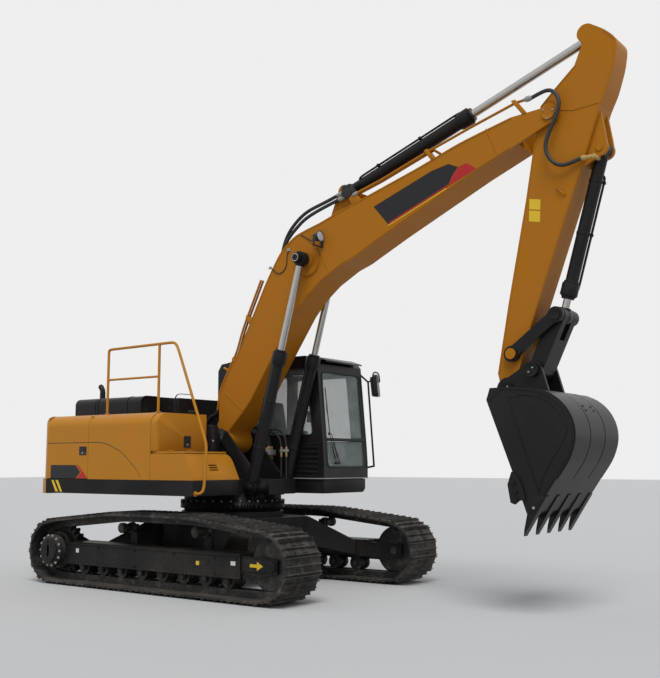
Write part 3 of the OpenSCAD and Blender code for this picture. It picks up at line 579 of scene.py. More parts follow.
def stood(place, turn, lean):
    return (Matrix.Translation(place) @ Matrix.Rotation(math.radians(turn), 4, "Z")
            @ Matrix.Rotation(math.radians(lean), 4, "Y"))


def ways(points):  # the direction of a line at each of its points
    out = []
    for i in range(len(points)):
        before, after = points[max(i - 1, 0)], points[min(i + 1, len(points) - 1)]
        out.append(Vector((after[0] - before[0], after[1] - before[1])).normalized())
    return out


def beside(points, inward):  # the same line, moved sideways
    return [(here[0] + way.y * inward, here[1] - way.x * inward) for here, way in zip(points, ways(points))]


def side(y):
    return lambda u, v: (u, y, v)


def reach(name, start, direction):  # where a line first meets a CAD piece
    return nodes[name].ray_cast(Vector(start), Vector(direction))[1]


yellow, armShadedYellow, black = materials["yellow"], materials["arm_yellow"], materials["black"]
cabBlack, chassisBlack, steel = materials["cab_black"], materials["chassis_black"], materials["track_steel"]
seal, zinc, brass, rubberBlack = extra["seal"], extra["zinc"], extra["brass"], extra["rubber"]
halfW = 1.355


# ---- undercarriage
underSet = {"trackY": 1.22, "halfDist": 1.75, "wheelZ": 0.405, "motorFace": 1.495, "plateFace": 1.39,
            "bolts": 14, "boltFace": 1.482, "ring": 0.186, "innerRing": 0.095, "shoeBolt": 0.013}
hubs = [(-underSet["halfDist"], s * underSet["motorFace"], underSet["wheelZ"], s) for s in (-1, 1)]
places = []
for x, y, z, s in hubs:
    for i in range(underSet["bolts"]):
        u, v = polar((x, z), underSet["ring"], i * 360 / underSet["bolts"])
        places.append(((u, s * underSet["boltFace"], v), (0, s, 0)))
    for i in range(3):
        u, v = polar((x, z), underSet["innerRing"], 90 + i * 120)
        places.append(((u, y, v), (0, s, 0)))
add(copies(hexBolt(0.0125, 0.014), places), "driveBolts", zinc, "chassis")

covers = []
for x, y, z, s in hubs:
    cover = rod((x, y - s * 0.004, z), (x, y + s * 0.022, z), 0.150, 48)
    pressed(cover, facing(y=s), 0.028, 0.010)
    pressed(cover, lambda c, n, s=s, x=x: n.y * s > 0.9 and abs(c.x - x) < 0.01, 0.05, -0.008)
    covers.append(eased(cover, 0.004, 2))
add(joined(covers), "driveCovers", chassisBlack, "chassis")


def loopPoint(s, total, points, sums):
    s %= total
    for i in range(len(points) - 1):
        if sums[i + 1] >= s:
            k = (s - sums[i]) / (sums[i + 1] - sums[i])
            return tuple(a + (b - a) * k for a, b in zip(points[i], points[i + 1]))
    return points[-1]


trackSet = {"pathR": 0.379, "grouser": 0.026, "carrierX": 0.62, "carrierRise": 0.112, "pitch": 0.19}
d, wz, pr = underSet["halfDist"], underSet["wheelZ"], trackSet["pathR"]
loop = [(-d, trackSet["grouser"]), (d, trackSet["grouser"])] + [polar((d, wz), pr, a) for a in range(-75, 76, 15)]
loop += [(d, wz + pr), (trackSet["carrierX"], wz + pr + trackSet["carrierRise"]),
         (-trackSet["carrierX"], wz + pr + trackSet["carrierRise"]), (-d, wz + pr)]
loop += [polar((-d, wz), pr, a) for a in range(105, 256, 15)] + [(-d, trackSet["grouser"])]
run = [0.0]
for a, b in zip(loop, loop[1:]):
    run.append(run[-1] + math.dist(a, b))
shoes = round(run[-1] / trackSet["pitch"])
step = run[-1] / shoes
boltPlaces = []
for i in range(shoes):
    a, b = loopPoint((i + 0.02) * step, run[-1], loop, run), loopPoint((i + 0.98) * step, run[-1], loop, run)
    length = math.dist(a, b)
    along = ((b[0] - a[0]) / length, (b[1] - a[1]) / length)
    outward = (along[1], -along[0])
    for s in (-1, 1):
        for across in (-0.095, -0.055, 0.055, 0.095):
            for k in (0.24, 0.74):
                boltPlaces.append(((a[0] + along[0] * length * k, s * underSet["trackY"] + across,
                                    a[1] + along[1] * length * k),
                                   (outward[0], 0, outward[1])))
add(copies(hexBolt(underSet["shoeBolt"], 0.010), boltPlaces), "shoeBolts", steel, "chassis")
print("track bolts made:", len(boltPlaces))

frameSet = {"low": 0.25, "high": 0.508, "rear": -1.59, "front": 1.37,
            "boltX": (-1.53, -0.95, -0.3, 0.35, 1.0, 1.31), "boltZ": (0.285, 0.468), "port": (0.85, 0.415)}
rollerSet = {"count": 8, "first": -1.28, "span": 2.42, "z": 0.216, "face": 1.344, "cap": 0.034}
for s, tag in ((-1, "Right"), (1, "Left")):
    face = s * underSet["plateFace"]
    lips = [eased(wallBlock(frameSet["rear"], frameSet["front"] - 0.005, face, s * 0.012, z - 0.008, z + 0.008),
                  0.004)
            for z in (frameSet["low"] + 0.009, frameSet["high"] - 0.010)]
    add(joined(lips), "coverLips" + tag, chassisBlack, "chassis")
    spots = [((x, face, z), (0, s, 0)) for x in frameSet["boltX"] for z in frameSet["boltZ"]]
    add(copies(hexBolt(0.013, 0.012), spots), "coverBolts" + tag, chassisBlack, "chassis")
    for x, z, w, h, finish, name in ((-1.335, 0.418, 0.055, 0.05, "labelWhite", "rearLabel"),
                                     (1.27, 0.413, 0.07, 0.045, "labelWhite", "frontLabel"),
                                     (0.735, 0.387, 0.05, 0.045, "labelYellow", "sideLabel")):
        label = wallBlock(x - w / 2, x + w / 2, face, s * 0.002, z - h / 2, z + h / 2)
        add(eased(label, 0.001, 1), name + tag, extra[finish], "chassis")
    portX, portZ = frameSet["port"]
    port = rod((portX, face - s * 0.004, portZ), (portX, face + s * 0.006, portZ), 0.052, 32)
    about(port, (portX, 0, portZ), Matrix.Diagonal((1, 1, 0.62, 1)))
    pressed(port, facing(y=s), 0.008, -0.008)
    add(eased(port, 0.0015, 1), "adjusterPort" + tag, seal, "chassis")
    yoke = s * (underSet["trackY"] + 0.14)
    plate = sheetOf([(1.38, 0.33), (1.38, 0.475), (1.80, 0.462), (1.85, 0.43), (1.85, 0.37), (1.80, 0.345)], 0.014,
                    side(yoke + s * 0.007))
    add(eased(plate, 0.003), "idlerPlate" + tag, chassisBlack, "chassis")
    arrow = sheetOf([(1.50, 0.385), (1.60, 0.385), (1.60, 0.355), (1.685, 0.402), (1.60, 0.449), (1.60, 0.419),
                     (1.50, 0.419)], 0.002,
                    side(yoke + s * 0.015))
    add(arrow, "directionArrow" + tag, extra["labelYellow"], "chassis")
    caps = []
    for i in range(rollerSet["count"]):
        x = rollerSet["first"] + i * rollerSet["span"] / (rollerSet["count"] - 1)
        cap = rod((x, s * rollerSet["face"], rollerSet["z"]), (x, s * (rollerSet["face"] + 0.012), rollerSet["z"]),
                  rollerSet["cap"], 20)
        pressed(cap, facing(y=s), 0.010, -0.004)
        caps.append(cap)
    add(smoothed(joined(caps)), "rollerCaps" + tag, steel, "chassis")
ringSet = {"radius": 0.655, "top": 1.030, "bolts": 36}
ringBolts = [((*polar((0, 0), ringSet["radius"], 360 * i / ringSet["bolts"]), ringSet["top"]), (0, 0, 1))
             for i in range(ringSet["bolts"])]
add(copies(hexBolt(0.011, 0.012), ringBolts), "slewRingBolts", zinc, "house")
print("undercarriage dressed")


# ---- right platform: tank, toolbox, lid, rail, cover and the deck's own end
platformSet = {"front": 0.608, "inner": -0.565, "lean": 0.152, "seat": 1.3003, "tankFront": 0.0, "tankInner": -0.476,
               "tankLow": 1.6453, "tankTop": 2.102, "roundTop": 0.150, "roundFront": 0.055, "boxTop": 1.6083}
pf = platformSet
arc = [polar((-halfW + pf["roundTop"], pf["tankTop"] - pf["roundTop"]), pf["roundTop"], a)
       for a in range(180, 89, -10)]
tank = slabX([(-halfW, pf["tankLow"])] + arc + [(pf["tankInner"], pf["tankTop"]), (pf["tankInner"], pf["tankLow"])],
             -0.104, pf["tankFront"])
roundedEdges(tank, lambda c, d: abs(d.z) > 0.9 and c.x > -0.001 and (c.y < -1.35 or c.y > -0.48), pf["roundFront"])
tankBack = block((-0.70, -1.29, pf["seat"]), (-0.1035, -0.62, 1.985))
add(joined([eased(tank, 0.006), eased(tankBack, 0.012)]), "fuelTank", yellow, "house")
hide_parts("fuel_tank")
panel = block((-1.229, -0.93, 2.080), (-0.110, -0.61, 2.110))
add(eased(panel, 0.004), "panelTopRight", yellow, "house")

x0, x1, z0, top = -0.104, pf["front"], pf["seat"], pf["boxTop"]
form = slabY([(x0, z0), (x0, top + 0.036), (x1 - pf["lean"] - 0.012, top + 0.036), (x1 - pf["lean"], top),
              (x1, z0 + 0.012), (x1, z0)], -halfW, pf["inner"])
arc = [polar((pf["inner"] - 0.095, top - 0.095), 0.095, a) for a in range(90, -1, -15)]
face = slabX([(-halfW, z0 - 0.05), (-halfW, top)] + arc + [(pf["inner"], z0 - 0.05)], x0 - 0.05, x1 + 0.05)
toolbox = met(form, face)
cutter = joined([block((0.30, -1.020, z0 + 0.112 + i * 0.027), (0.62, -0.870, z0 + 0.126 + i * 0.027))
                 for i in range(3)])
well = block((0.035, -1.33, z0 + 0.02), (0.435, -0.68, 1.70))
toolbox = met(met(toolbox, cutter, "DIFFERENCE"), well, "DIFFERENCE")
shelf = block((x0 + 0.001, -1.33, top - 0.001), (0.0, -0.66, pf["tankLow"] - 0.0005))
add(joined([eased(toolbox, 0.005), shelf]), "toolboxBody", yellow, "house")
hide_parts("toolbox")
lid = slabZ([(0.015, -halfW), (0.462, -halfW), (0.462, -0.635), (0.015, -0.635)], 1.6123, 1.6343)
roundedEdges(lid, lambda c, d: abs(d.z) > 0.9, 0.014, 4)
add(eased(lid, 0.005), "toolboxTop", yellow, "house")  # its hinge in the record lies further ahead
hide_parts("toolbox_lid")
hinges = []
for y in (-1.20, -0.86):
    for k in range(3):
        knuckle = rod((0.021, y + k * 0.033, 1.6463), (0.021, y + k * 0.033 + 0.031, 1.6463), 0.0085, 16)
        hinges.append(eased(knuckle, 0.0015, 1))
    hinges.append(block((-0.012, y, 1.634), (0.020, y + 0.097, 1.6375)))
add(joined(hinges), "lidHinges", yellow, "house")

# the deck is the CAD one with its right end at the toolbox
deckPiece = nodes["deck"].copy()
deckPiece.data = nodes["deck"].data.copy()
bpy.context.collection.objects.link(deckPiece)
only(deckPiece)
bpy.ops.object.parent_clear(type="CLEAR_KEEP_TRANSFORM")
bpy.ops.object.mode_set(mode="EDIT")
bpy.ops.mesh.select_all(action="SELECT")
bpy.ops.mesh.remove_doubles(threshold=0.00002)
bpy.ops.object.mode_set(mode="OBJECT")
met(deckPiece, block((pf["front"], -1.60, 1.105), (1.50, pf["inner"], 1.310)), "DIFFERENCE")
ends = [block((pf["front"] - 0.012, -halfW + 0.001, 1.1201), (pf["front"] + 0.0005, pf["inner"], 1.2995)),
        block((0.485, -0.655, 1.1201), (pf["front"], pf["inner"], 1.2995))]
deckPiece = joined([deckPiece] + [eased(end, 0.004) for end in ends])
add(smoothed(deckPiece, 30), "deckPlate", chassisBlack, "house")
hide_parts("deck")

railSet = {"radius": 0.017, "y": -1.185, "top": 2.940, "out": 0.700, "rear": -1.089, "post": -0.164,
           "middle": 2.55, "seat": 2.118}
rs = railSet
ry, rt, rr, rp = rs["y"], rs["top"], rs["rear"], rs["post"]
mainRail = hose([(rr, ry, 2.10), (rr, ry, rt - 0.10), (rr, ry, rt - 0.04), (-1.085, ry, rt - 0.008),
                 (-1.040, ry, rt), (-0.98, ry, rt), (-0.4, ry, rt + 0.006), (0.02, ry, rt + 0.012),
                 (0.080, ry, rt + 0.010), (0.125, ry - 0.004, rt - 0.014), (0.168, ry - 0.015, rt - 0.06),
                 (0.25, -1.206, 2.70), (0.60, -1.231, 1.93), (0.68, -1.236, 1.76), (rs["out"], -1.240, 1.69),
                 (rs["out"], -1.2445, 1.60), (rs["out"], -1.262, 1.30), (rs["out"], -1.268, 1.215),
                 (0.695, -1.290, 1.165), (0.660, -1.312, 1.148), (0.640, -1.314, 1.148), (0.609, -1.314, 1.148)],
                rs["radius"], 4)
post = hose([(rp, ry, 2.10), (rp, ry, 2.4), (rp, ry, 2.7), (rp, ry, rt + 0.004)], rs["radius"], 4, smooth=False)
bar = hose([(rr, ry, rs["middle"]), (-0.8, ry, rs["middle"]), (-0.4, ry, rs["middle"]), (rp, ry, rs["middle"])],
           rs["radius"] - 0.003, 4, smooth=False)
feet = [eased(rod((x, ry, 2.110), (x, ry, rs["seat"]), 0.036, 24), 0.002, 1) for x in (rr, rp)]
feet.append(eased(rod((pf["front"] + 0.0005, -1.314, 1.148), (pf["front"] + 0.009, -1.314, 1.148), 0.032, 24),
                  0.002, 1))
add(smoothed(joined([mainRail, post, bar] + feet)), "handrail", yellow, "house")
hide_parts("handrails")
footBolts = [((x + 0.025 * math.cos(a), ry + 0.025 * math.sin(a), rs["seat"]), (0, 0, 1))
             for x in (rr, rp) for a in (0.8, 2.4, 3.9, 5.5)]
add(copies(hexBolt(0.005, 0.005), footBolts), "railBolts", zinc, "house")

coverFace = [(-0.470, 1.3003), (-0.470, 1.975), (-0.350, 1.975), (-0.305, 1.830), (-0.290, 1.640), (-0.290, 1.3003)]
footCover = slabX(coverFace, -0.15, 0.05)
add(eased(footCover, 0.010), "footCover", black, "house")
add(copies(hexBolt(0.011, 0.011), [((0.05, -0.441, 1.775), (1, 0, 0)), ((0.05, -0.441, 1.42), (1, 0, 0)),
                                   ((0.05, -0.32, 1.42), (1, 0, 0))]),
    "footCoverBolts", zinc, "house")
# dark strips along the panels' crease: painted shade under the step
for s, x0, x1 in ((-1, -2.041, -1.2355), (-1, -1.228, -0.27), (1, -2.041, -1.1865), (1, -1.179, -0.71)):
    crease = [(-2.6, 1.757), (-1.01, 1.757), (-0.881, 1.734), (-0.769, 1.696), (-0.64, 1.646), (-0.529, 1.573),
              (-0.437, 1.501), (-0.347, 1.429), (-0.27, 1.335)]
    line = [(x0, 1.757)] + [p for p in crease[1:] if x0 < p[0] < x1]
    if x1 < -1.01:
        line.append((x1, 1.757))
    elif line[-1][0] < x1:
        line.append((x1, 1.335 if x1 > -0.3 else 1.675))
    strip = sheetOf([(u, v + 0.004) for u, v in line] + [(u, v - 0.004) for u, v in reversed(line)], 0.0012,
                    side(s * (halfW + 0.0003)))
    name = ("pump_door" if s < 0 else "left_door") if x0 < -2 else "house"
    add(strip, "crease" + ("Right" if s < 0 else "Left") + ("Door" if x0 < -2 else "Panel"), seal, name)
print("right platform made")


# ---- panels, doors, tank and covers of the upper part
panelSet = {"latch": (0.135, 0.105), "tankLatch": (0.118, 0.14), "stripeRise": 0.0015, "ribWidth": 0.016}


def latchPlate(w, h):
    plate = block((-w / 2, -h / 2, -0.001), (w / 2, h / 2, 0.007))
    pressed(plate, facing(z=1), 0.010, 0.0)
    pressed(plate, lambda c, n: n.z > 0.9 and abs(c.x) < w * 0.3 and abs(c.y) < h * 0.3, 0.002, -0.004)
    grip = block((-w * 0.30, -h * 0.02, 0.0), (w * 0.30, h * 0.30, 0.011))
    pressed(grip, facing(z=1), 0.006, -0.002)
    return joined([eased(plate, 0.0025), eased(grip, 0.004)])


def lockBarrel():
    barrel = rod((0, 0, 0), (0, 0, 0.010), 0.0125, 24)
    pressed(barrel, facing(z=1), 0.0035, -0.002)
    slot = block((-0.007, -0.0012, 0.007), (0.007, 0.0012, 0.0095))
    return joined([eased(barrel, 0.0012, 1), slot])


latches = [("pumpLatch", "pump_door", "yellow", (-1.333, -halfW, 1.655), (0, -1, 0), panelSet["latch"]),
           ("leftLatch", "left_door", "yellow", (-1.29, halfW, 1.655), (0, 1, 0), panelSet["latch"]),
           ("tankLatch", "house", "yellow", (0.0005, -0.847, 1.758), (1, 0, 0), panelSet["tankLatch"]),
           ("lidLatch", "house", "yellow", (0.33, -0.95, 1.634), (0, 0, 1), (0.11, 0.09))]
for name, body, slot, spot, way, size in latches:
    add(copies(latchPlate(*size), [(spot, way)]), name, seal, body)
    low = Vector(spot) + turnedTo(way) @ Vector((0, -size[1] * 0.25, 0.001))
    add(copies(lockBarrel(), [(low, way)]), name + "Lock", zinc, body)

for s, tag, door, slot in ((-1, "Right", "pump_door", "yellow"), (1, "Left", "left_door", "yellow")):
    lift = side(s * (halfW + 0.0006))
    stripes = [sheetOf([(a, 1.282), (b, 1.282), (d, 1.137), (c, 1.137)], panelSet["stripeRise"], lift)
               for a, b, c, d in ((-1.938, -1.897, -1.849, -1.798), (-1.857, -1.806, -1.758, -1.718))]
    add(joined(stripes), "bandStripes" + tag, extra["labelYellow"], "house")
    band = sheetOf([(-1.96, 1.475), (-1.47, 1.475), (-1.381, 1.395), (-1.381, 1.375), (-1.46, 1.307),
                    (-1.96, 1.307)],
                   panelSet["stripeRise"], lift)
    add(band, "doorBand" + tag, extra["labelBlack"], door)
    wedge = sheetOf([(-1.455, 1.475), (-1.415, 1.475), (-1.24, 1.320), (-1.24, 1.307), (-1.445, 1.307),
                     (-1.366, 1.375), (-1.366, 1.395)],
                    panelSet["stripeRise"], lift)
    add(wedge, "doorWedge" + tag, extra["labelRed"], door)

ribs = []
for x in (-1.578, -1.013, -0.752, -0.141):
    for s in (-1, 1):
        arc = [polar((0.84, 2.262), 0.096, a) for a in range(0, 91, 15)]
        inner = [polar((0.84, 2.262), 0.088, a) for a in range(90, -1, -15)]
        outline = [(0.936, 2.135)] + arc + [(0.66, 2.358), (0.66, 2.350)] + inner + [(0.928, 2.135)]
        ribs.append(sheetOf([(s * u, v) for u, v in outline], panelSet["ribWidth"], lambda u, v, x=x: (x, u, v)))
add(joined(ribs), "coverRibs", black, "house")

boltRows = []
for s in (-1, 1):
    for x in (-1.50, -1.30, -1.10, -0.90, -0.60, -0.40, -0.20):
        boltRows.append(((x, s * 1.13, 2.110), (0, 0, 1)))
    for x in (-1.52, -1.10, -0.65, -0.22):
        boltRows.append(((x, s * 0.93, 2.175), (0, s, 0)))
add(copies(hexBolt(0.010, 0.009), boltRows), "coverBolts", black, "house")

# filler caps and anti-slip plates on the walked-on tops
capSet = {"radius": 0.065, "height": 0.045, "grips": 12}
filler = rod((0, 0, 0), (0, 0, capSet["height"]), capSet["radius"], 48)
pressed(filler, facing(z=1), 0.012, 0.004)
pressed(filler, lambda c, n: n.z > 0.9 and math.hypot(c.x, c.y) < 0.01, 0.018, -0.005)
grips = [eased(block((capSet["radius"] - 0.003, -0.006, 0.006),
                     (capSet["radius"] + 0.006, 0.006, capSet["height"] - 0.006)), 0.002, 1)]
grips += [twinOf(grips[0], Matrix.Rotation(math.tau * i / capSet["grips"], 4, "Z"))
          for i in range(1, capSet["grips"])]
filler = joined([eased(filler, 0.003)] + grips)
add(copies(filler, [((-0.055, -0.70, 2.100), (0, 0, 1))]), "fillerCap", black, "house")


def gripPlate(w, h, rows, lines):  # thin plate with raised round studs
    plate = eased(block((-w / 2, -h / 2, 0), (w / 2, h / 2, 0.004)), 0.0015, 1)
    stud = rod((0, 0, 0.003), (0, 0, 0.010), 0.013, 10, 0.009)
    spots = [((-w / 2 + (i + 0.5) * w / rows, -h / 2 + (j + 0.5) * h / lines, 0), (0, 0, 1))
             for i in range(rows) for j in range(lines)]
    return joined([plate, smoothed(copies(stud, spots))])


plates = [((-0.88, -1.03, 2.1105), (0, 0, 1)), ((-0.44, -1.03, 2.1105), (0, 0, 1)),
          ((-1.42, -1.03, 2.1105), (0, 0, 1))]
add(copies(gripPlate(0.36, 0.13, 8, 3), plates), "treadPlatesTop", seal, "house")
add(copies(gripPlate(0.26, 0.42, 5, 9), [((0.20, -1.05, 1.6316), (0, 0, 1))]), "treadPlateLid", seal,
    "house")

# louvres on the left side, for the cooler
louvreSet = {"x": (-1.93, -1.36), "z": (1.80, 1.98), "slats": 14, "tilt": -28}
x0, x1 = louvreSet["x"]
z0, z1 = louvreSet["z"]
rim = block((x0, halfW - 0.002, z0 - 0.40), (x1, halfW + 0.004, z1 - 0.06))
pressed(rim, facing(y=1), 0.022, 0.0)
pressed(rim, lambda c, n: n.y > 0.9 and abs(c.x - (x0 + x1) / 2) < 0.05 and abs(c.z - (z0 + z1 - 0.46) / 2) < 0.05,
        0.001, -0.003)
slats = [eased(rim, 0.002)]
for i in range(louvreSet["slats"]):
    z = z0 - 0.36 + i * (z1 - z0 + 0.26) / louvreSet["slats"]
    slat = block((x0 + 0.025, halfW - 0.001, z), (x1 - 0.025, halfW + 0.011, z + 0.006))
    about(slat, (0, halfW, z), Matrix.Rotation(math.radians(louvreSet["tilt"]), 4, "X"))
    slats.append(slat)
add(joined(slats), "doorLouvres", seal, "left_door")

# hood: grab handles
grab = []
for s in (-1, 1):
    a = reach("hood", (-1.66, s * 0.42 - 0.08, 4.0), (0, 0, -1))
    b = reach("hood", (-1.66, s * 0.42 + 0.08, 4.0), (0, 0, -1))
    grab.append(hose([a, a + Vector((0, 0, 0.05)), a + Vector((0, 0.015, 0.06)), b + Vector((0, -0.015, 0.06)),
                      b + Vector((0, 0, 0.05)), b], 0.008, 3))
add(smoothed(joined(grab)), "hoodHandles", zinc, "hood")
print("panels dressed")

# counterweight: lamps and a blank plate
backSet = {"lampY": 0.86}
backSpot = reach("counterweight", (-4, 0.0, 1.55), (1, 0, 0))
plate = block((backSpot.x - 0.006, -0.20, 1.49), (backSpot.x + 0.004, 0.20, 1.60))
pressed(plate, facing(x=-1), 0.010, -0.003)
add(eased(plate, 0.004), "rearPlate", extra["labelWhite"], "house")
lampShells, lampPanes = [], []
for s in (-1, 1):
    spot = reach("counterweight", (-4, s * backSet["lampY"], 1.42), (1, 0, 0))
    shell = block((spot.x - 0.030, s * backSet["lampY"] - 0.09, 1.37),
                  (spot.x + 0.02, s * backSet["lampY"] + 0.09, 1.47))
    pressed(shell, facing(x=-1), 0.010, -0.008)
    lampShells.append(eased(shell, 0.006))
    glow = block((spot.x - 0.031, s * backSet["lampY"] - 0.075, 1.385),
                 (spot.x - 0.012, s * backSet["lampY"] + 0.075, 1.455))
    pressed(glow, facing(x=-1), 0.012, 0.004)
    lampPanes.append(eased(glow, 0.005))
add(joined(lampShells), "rearLampShells", seal, "house")
add(joined(lampPanes), "rearLampPanes", extra["labelRed"], "house")


# ---- cab: seals, wipers, louvre, handle, mirror, seat and controls
cabSet = {"right": 0.420, "left": 1.395, "floor": 1.3455, "seal": 0.008}


def roundOutline(points, radius, steps=4):  # the corners of a flat outline made round
    out = []
    for i, here in enumerate(points):
        before, after = points[i - 1], points[(i + 1) % len(points)]
        a = Vector((before[0] - here[0], before[1] - here[1])).normalized()
        b = Vector((after[0] - here[0], after[1] - here[1])).normalized()
        start, end, corner = Vector(here) + a * radius, Vector(here) + b * radius, Vector(here)
        for k in range(steps + 1):
            t = k / steps
            spot = start * (1 - t) ** 2 + corner * 2 * t * (1 - t) + end * t ** 2
            out.append((spot.x, spot.y))
    return out


def frontX(z):  # the cab's front face
    for (x0, z0), (x1, z1) in (((1.150, 1.300), (1.150, 1.500)), ((1.150, 1.500), (1.135, 1.720)),
                               ((1.135, 1.720), (1.040, 2.770))):
        if z <= z1:
            return x0 + (x1 - x0) * (z - z0) / (z1 - z0)
    return 1.040


def sealOf(outline, lift, radius=None):
    return smoothed(hose([lift(u, v) for u, v in outline], radius or cabSet["seal"], 2, closed=True, smooth=False))


rightWindow = roundOutline([(-0.56, 1.86), (-0.56, 2.71), (0.86, 2.71), (0.97, 1.86)], 0.06)
leftWindow = roundOutline([(-0.59, 1.92), (-0.59, 2.71), (-0.21, 2.71), (-0.21, 1.92)], 0.05)
rearWindow = roundOutline([(0.52, 1.94), (0.52, 2.68), (1.295, 2.68), (1.295, 1.94)], 0.06)
windscreen = roundOutline([(0.495, 1.45), (0.495, 2.665), (1.320, 2.665), (1.320, 1.45)], 0.07)
seals = [sealOf(rightWindow, side(cabSet["right"])), sealOf(leftWindow, side(cabSet["left"])),
         sealOf(rearWindow, lambda u, v: (-0.680, u, v)),
         sealOf(windscreen, lambda u, v: (frontX(v) + 0.001, u, v), 0.011)]
bar = [eased(block((frontX(1.80) - 0.012, 0.49, 1.786), (frontX(1.80) + 0.012, 1.325, 1.816)), 0.004)]
seals.append(hose([(0.15, cabSet["right"] - 0.001, 1.86), (0.15, cabSet["right"] - 0.001, 2.71)], 0.010, 2,
                  smooth=False))
add(joined(seals + bar), "windowSeals", seal, "house")
doorHole = roundOutline([(-0.06, 2.06), (-0.06, 2.66), (0.825, 2.66), (0.905, 1.83), (0.905, 1.78), (0.25, 1.78)],
                        0.05)
add(sealOf(doorHole, side(cabSet["left"] + 0.001)), "doorSeal", seal, "cab_door")

# wipers: a pivot, an arm and a blade
pivots, arms, blades = [], [], []
for pivot, tipAt in (((0.655, 1.50), (0.560, 1.80)), ((0.720, 1.50), (0.600, 1.81)),
                     ((0.545, 1.87), (0.515, 2.46))):
    a = Vector((frontX(pivot[1]) + 0.004, pivot[0], pivot[1]))
    b = Vector((frontX(tipAt[1]) + 0.022, tipAt[0], tipAt[1]))
    pivots.append(eased(rod(a, a + Vector((0.030, 0, 0.003)), 0.016, 20), 0.003))
    arms.append(hose([a + Vector((0.024, 0, 0)), a.lerp(b, 0.15) + Vector((0.020, 0, 0)),
                      a.lerp(b, 0.6) + Vector((0.012, 0, 0)), b + Vector((0.004, 0, 0))], 0.006, 2))
    middle, way = a.lerp(b, 0.72) + Vector((0.006, 0, 0)), (b - a).normalized()
    blades.append(hose([middle - way * 0.16, middle, middle + way * 0.16], 0.005, 2, smooth=False))
add(smoothed(joined(pivots + arms + blades)), "wipers", seal, "house")

# ribbed louvre on the right wall
louvre = block((0.600, cabSet["right"] - 0.010, 1.320), (1.075, cabSet["right"] + 0.002, 1.750))
pressed(louvre, facing(y=-1), 0.016, 0.0)
pressed(louvre, lambda c, n: n.y < -0.9 and abs(c.x - 0.8375) < 0.05 and abs(c.z - 1.535) < 0.05, 0.001, -0.006)
parts = [eased(louvre, 0.003)]
for i in range(6):
    z = 1.372 + i * 0.064
    rib = block((0.622, cabSet["right"] - 0.012, z), (1.053, cabSet["right"] - 0.001, z + 0.026))
    parts.append(eased(rib, 0.005, 2))
add(joined(parts), "cabLouvre", cabBlack, "house")
lipRun = [eased(block((1.146, 0.425, 1.300), (1.156, 1.375, 1.312)), 0.003),
          eased(block((0.58, 0.412, 1.300), (1.15, 0.421, 1.312)), 0.003)]
add(joined(lipRun), "cabLip", zinc, "house")
skirt = slabX([(0.43, 1.125), (0.43, 1.295), (1.345, 1.295), (1.345, 1.165), (1.30, 1.125)], 1.136, 1.144)
add(eased(skirt, 0.006), "cabSkirt", chassisBlack, "house")
visor = slabY([(0.955, 2.868), (1.115, 2.815), (1.125, 2.790), (1.110, 2.800), (0.985, 2.842)], 0.50, 1.31)
add(eased(visor, 0.004), "cabVisor", cabBlack, "house")
hatch = block((-0.20, 0.62, 2.876), (0.42, 1.20, 2.890))
pressed(hatch, facing(z=1), 0.04, 0.0)
pressed(hatch, lambda c, n: n.z > 0.9 and abs(c.x - 0.11) < 0.02, 0.03, 0.006)
hatchBits = [eased(hatch, 0.006)]
hatchBits += [eased(block((-0.22, y, 2.879), (-0.17, y + 0.07, 2.893)), 0.004) for y in (0.70, 1.05)]
add(joined(hatchBits), "roofHatch", cabBlack, "house")

# door handle, lock and mirror
handle = block((0.790, cabSet["left"] - 0.002, 1.690), (0.900, cabSet["left"] + 0.010, 1.760))
pressed(handle, facing(y=1), 0.008, -0.006)
grip = hose([(0.800, cabSet["left"] + 0.004, 1.735), (0.805, cabSet["left"] + 0.022, 1.735),
             (0.885, cabSet["left"] + 0.022, 1.735), (0.890, cabSet["left"] + 0.004, 1.735)], 0.007, 3)
add(joined([eased(handle, 0.003), smoothed(grip)]), "cabDoorHandle", seal, "cab_door")
add(copies(lockBarrel(), [((0.845, cabSet["left"] + 0.006, 1.700), (0, 1, 0))]), "cabDoorLock", zinc,
    "cab_door")
mirrorSet = {"turn": 25, "lean": -6}
mirrorGlass = block((-0.005, -0.062, -0.115), (0.0, 0.062, 0.115))
pressed(mirrorGlass, facing(x=-1), 0.006, 0.002)
eased(mirrorGlass, 0.002)
mirrorGlass.data.transform(stood((1.130, 1.555, 2.530), mirrorSet["turn"], mirrorSet["lean"])
                           @ Matrix.Translation((-0.0135, 0, 0)))
add(mirrorGlass, "mirrorGlass", materials["chrome"], "house")
mirrorShell = block((0.0, -0.098, -0.150), (0.055, 0.098, 0.150))
roundedEdges(mirrorShell, lambda c, d: abs(d.x) > 0.9, 0.045, 4)
mirrorShell.data.transform(stood((1.125, 1.600, 2.545), mirrorSet["turn"], mirrorSet["lean"]))
add(smoothed(mirrorShell, 40), "mirrorShell", cabBlack, "house")
mirrorLoop = hose([(1.135, 1.535, 2.44), (1.140, 1.530, 2.60), (1.140, 1.535, 2.70), (1.145, 1.57, 2.735),
                   (1.150, 1.65, 2.735), (1.150, 1.690, 2.69), (1.150, 1.690, 2.60)], 0.010, 3)
add(smoothed(mirrorLoop), "mirrorLoop", cabBlack, "house")


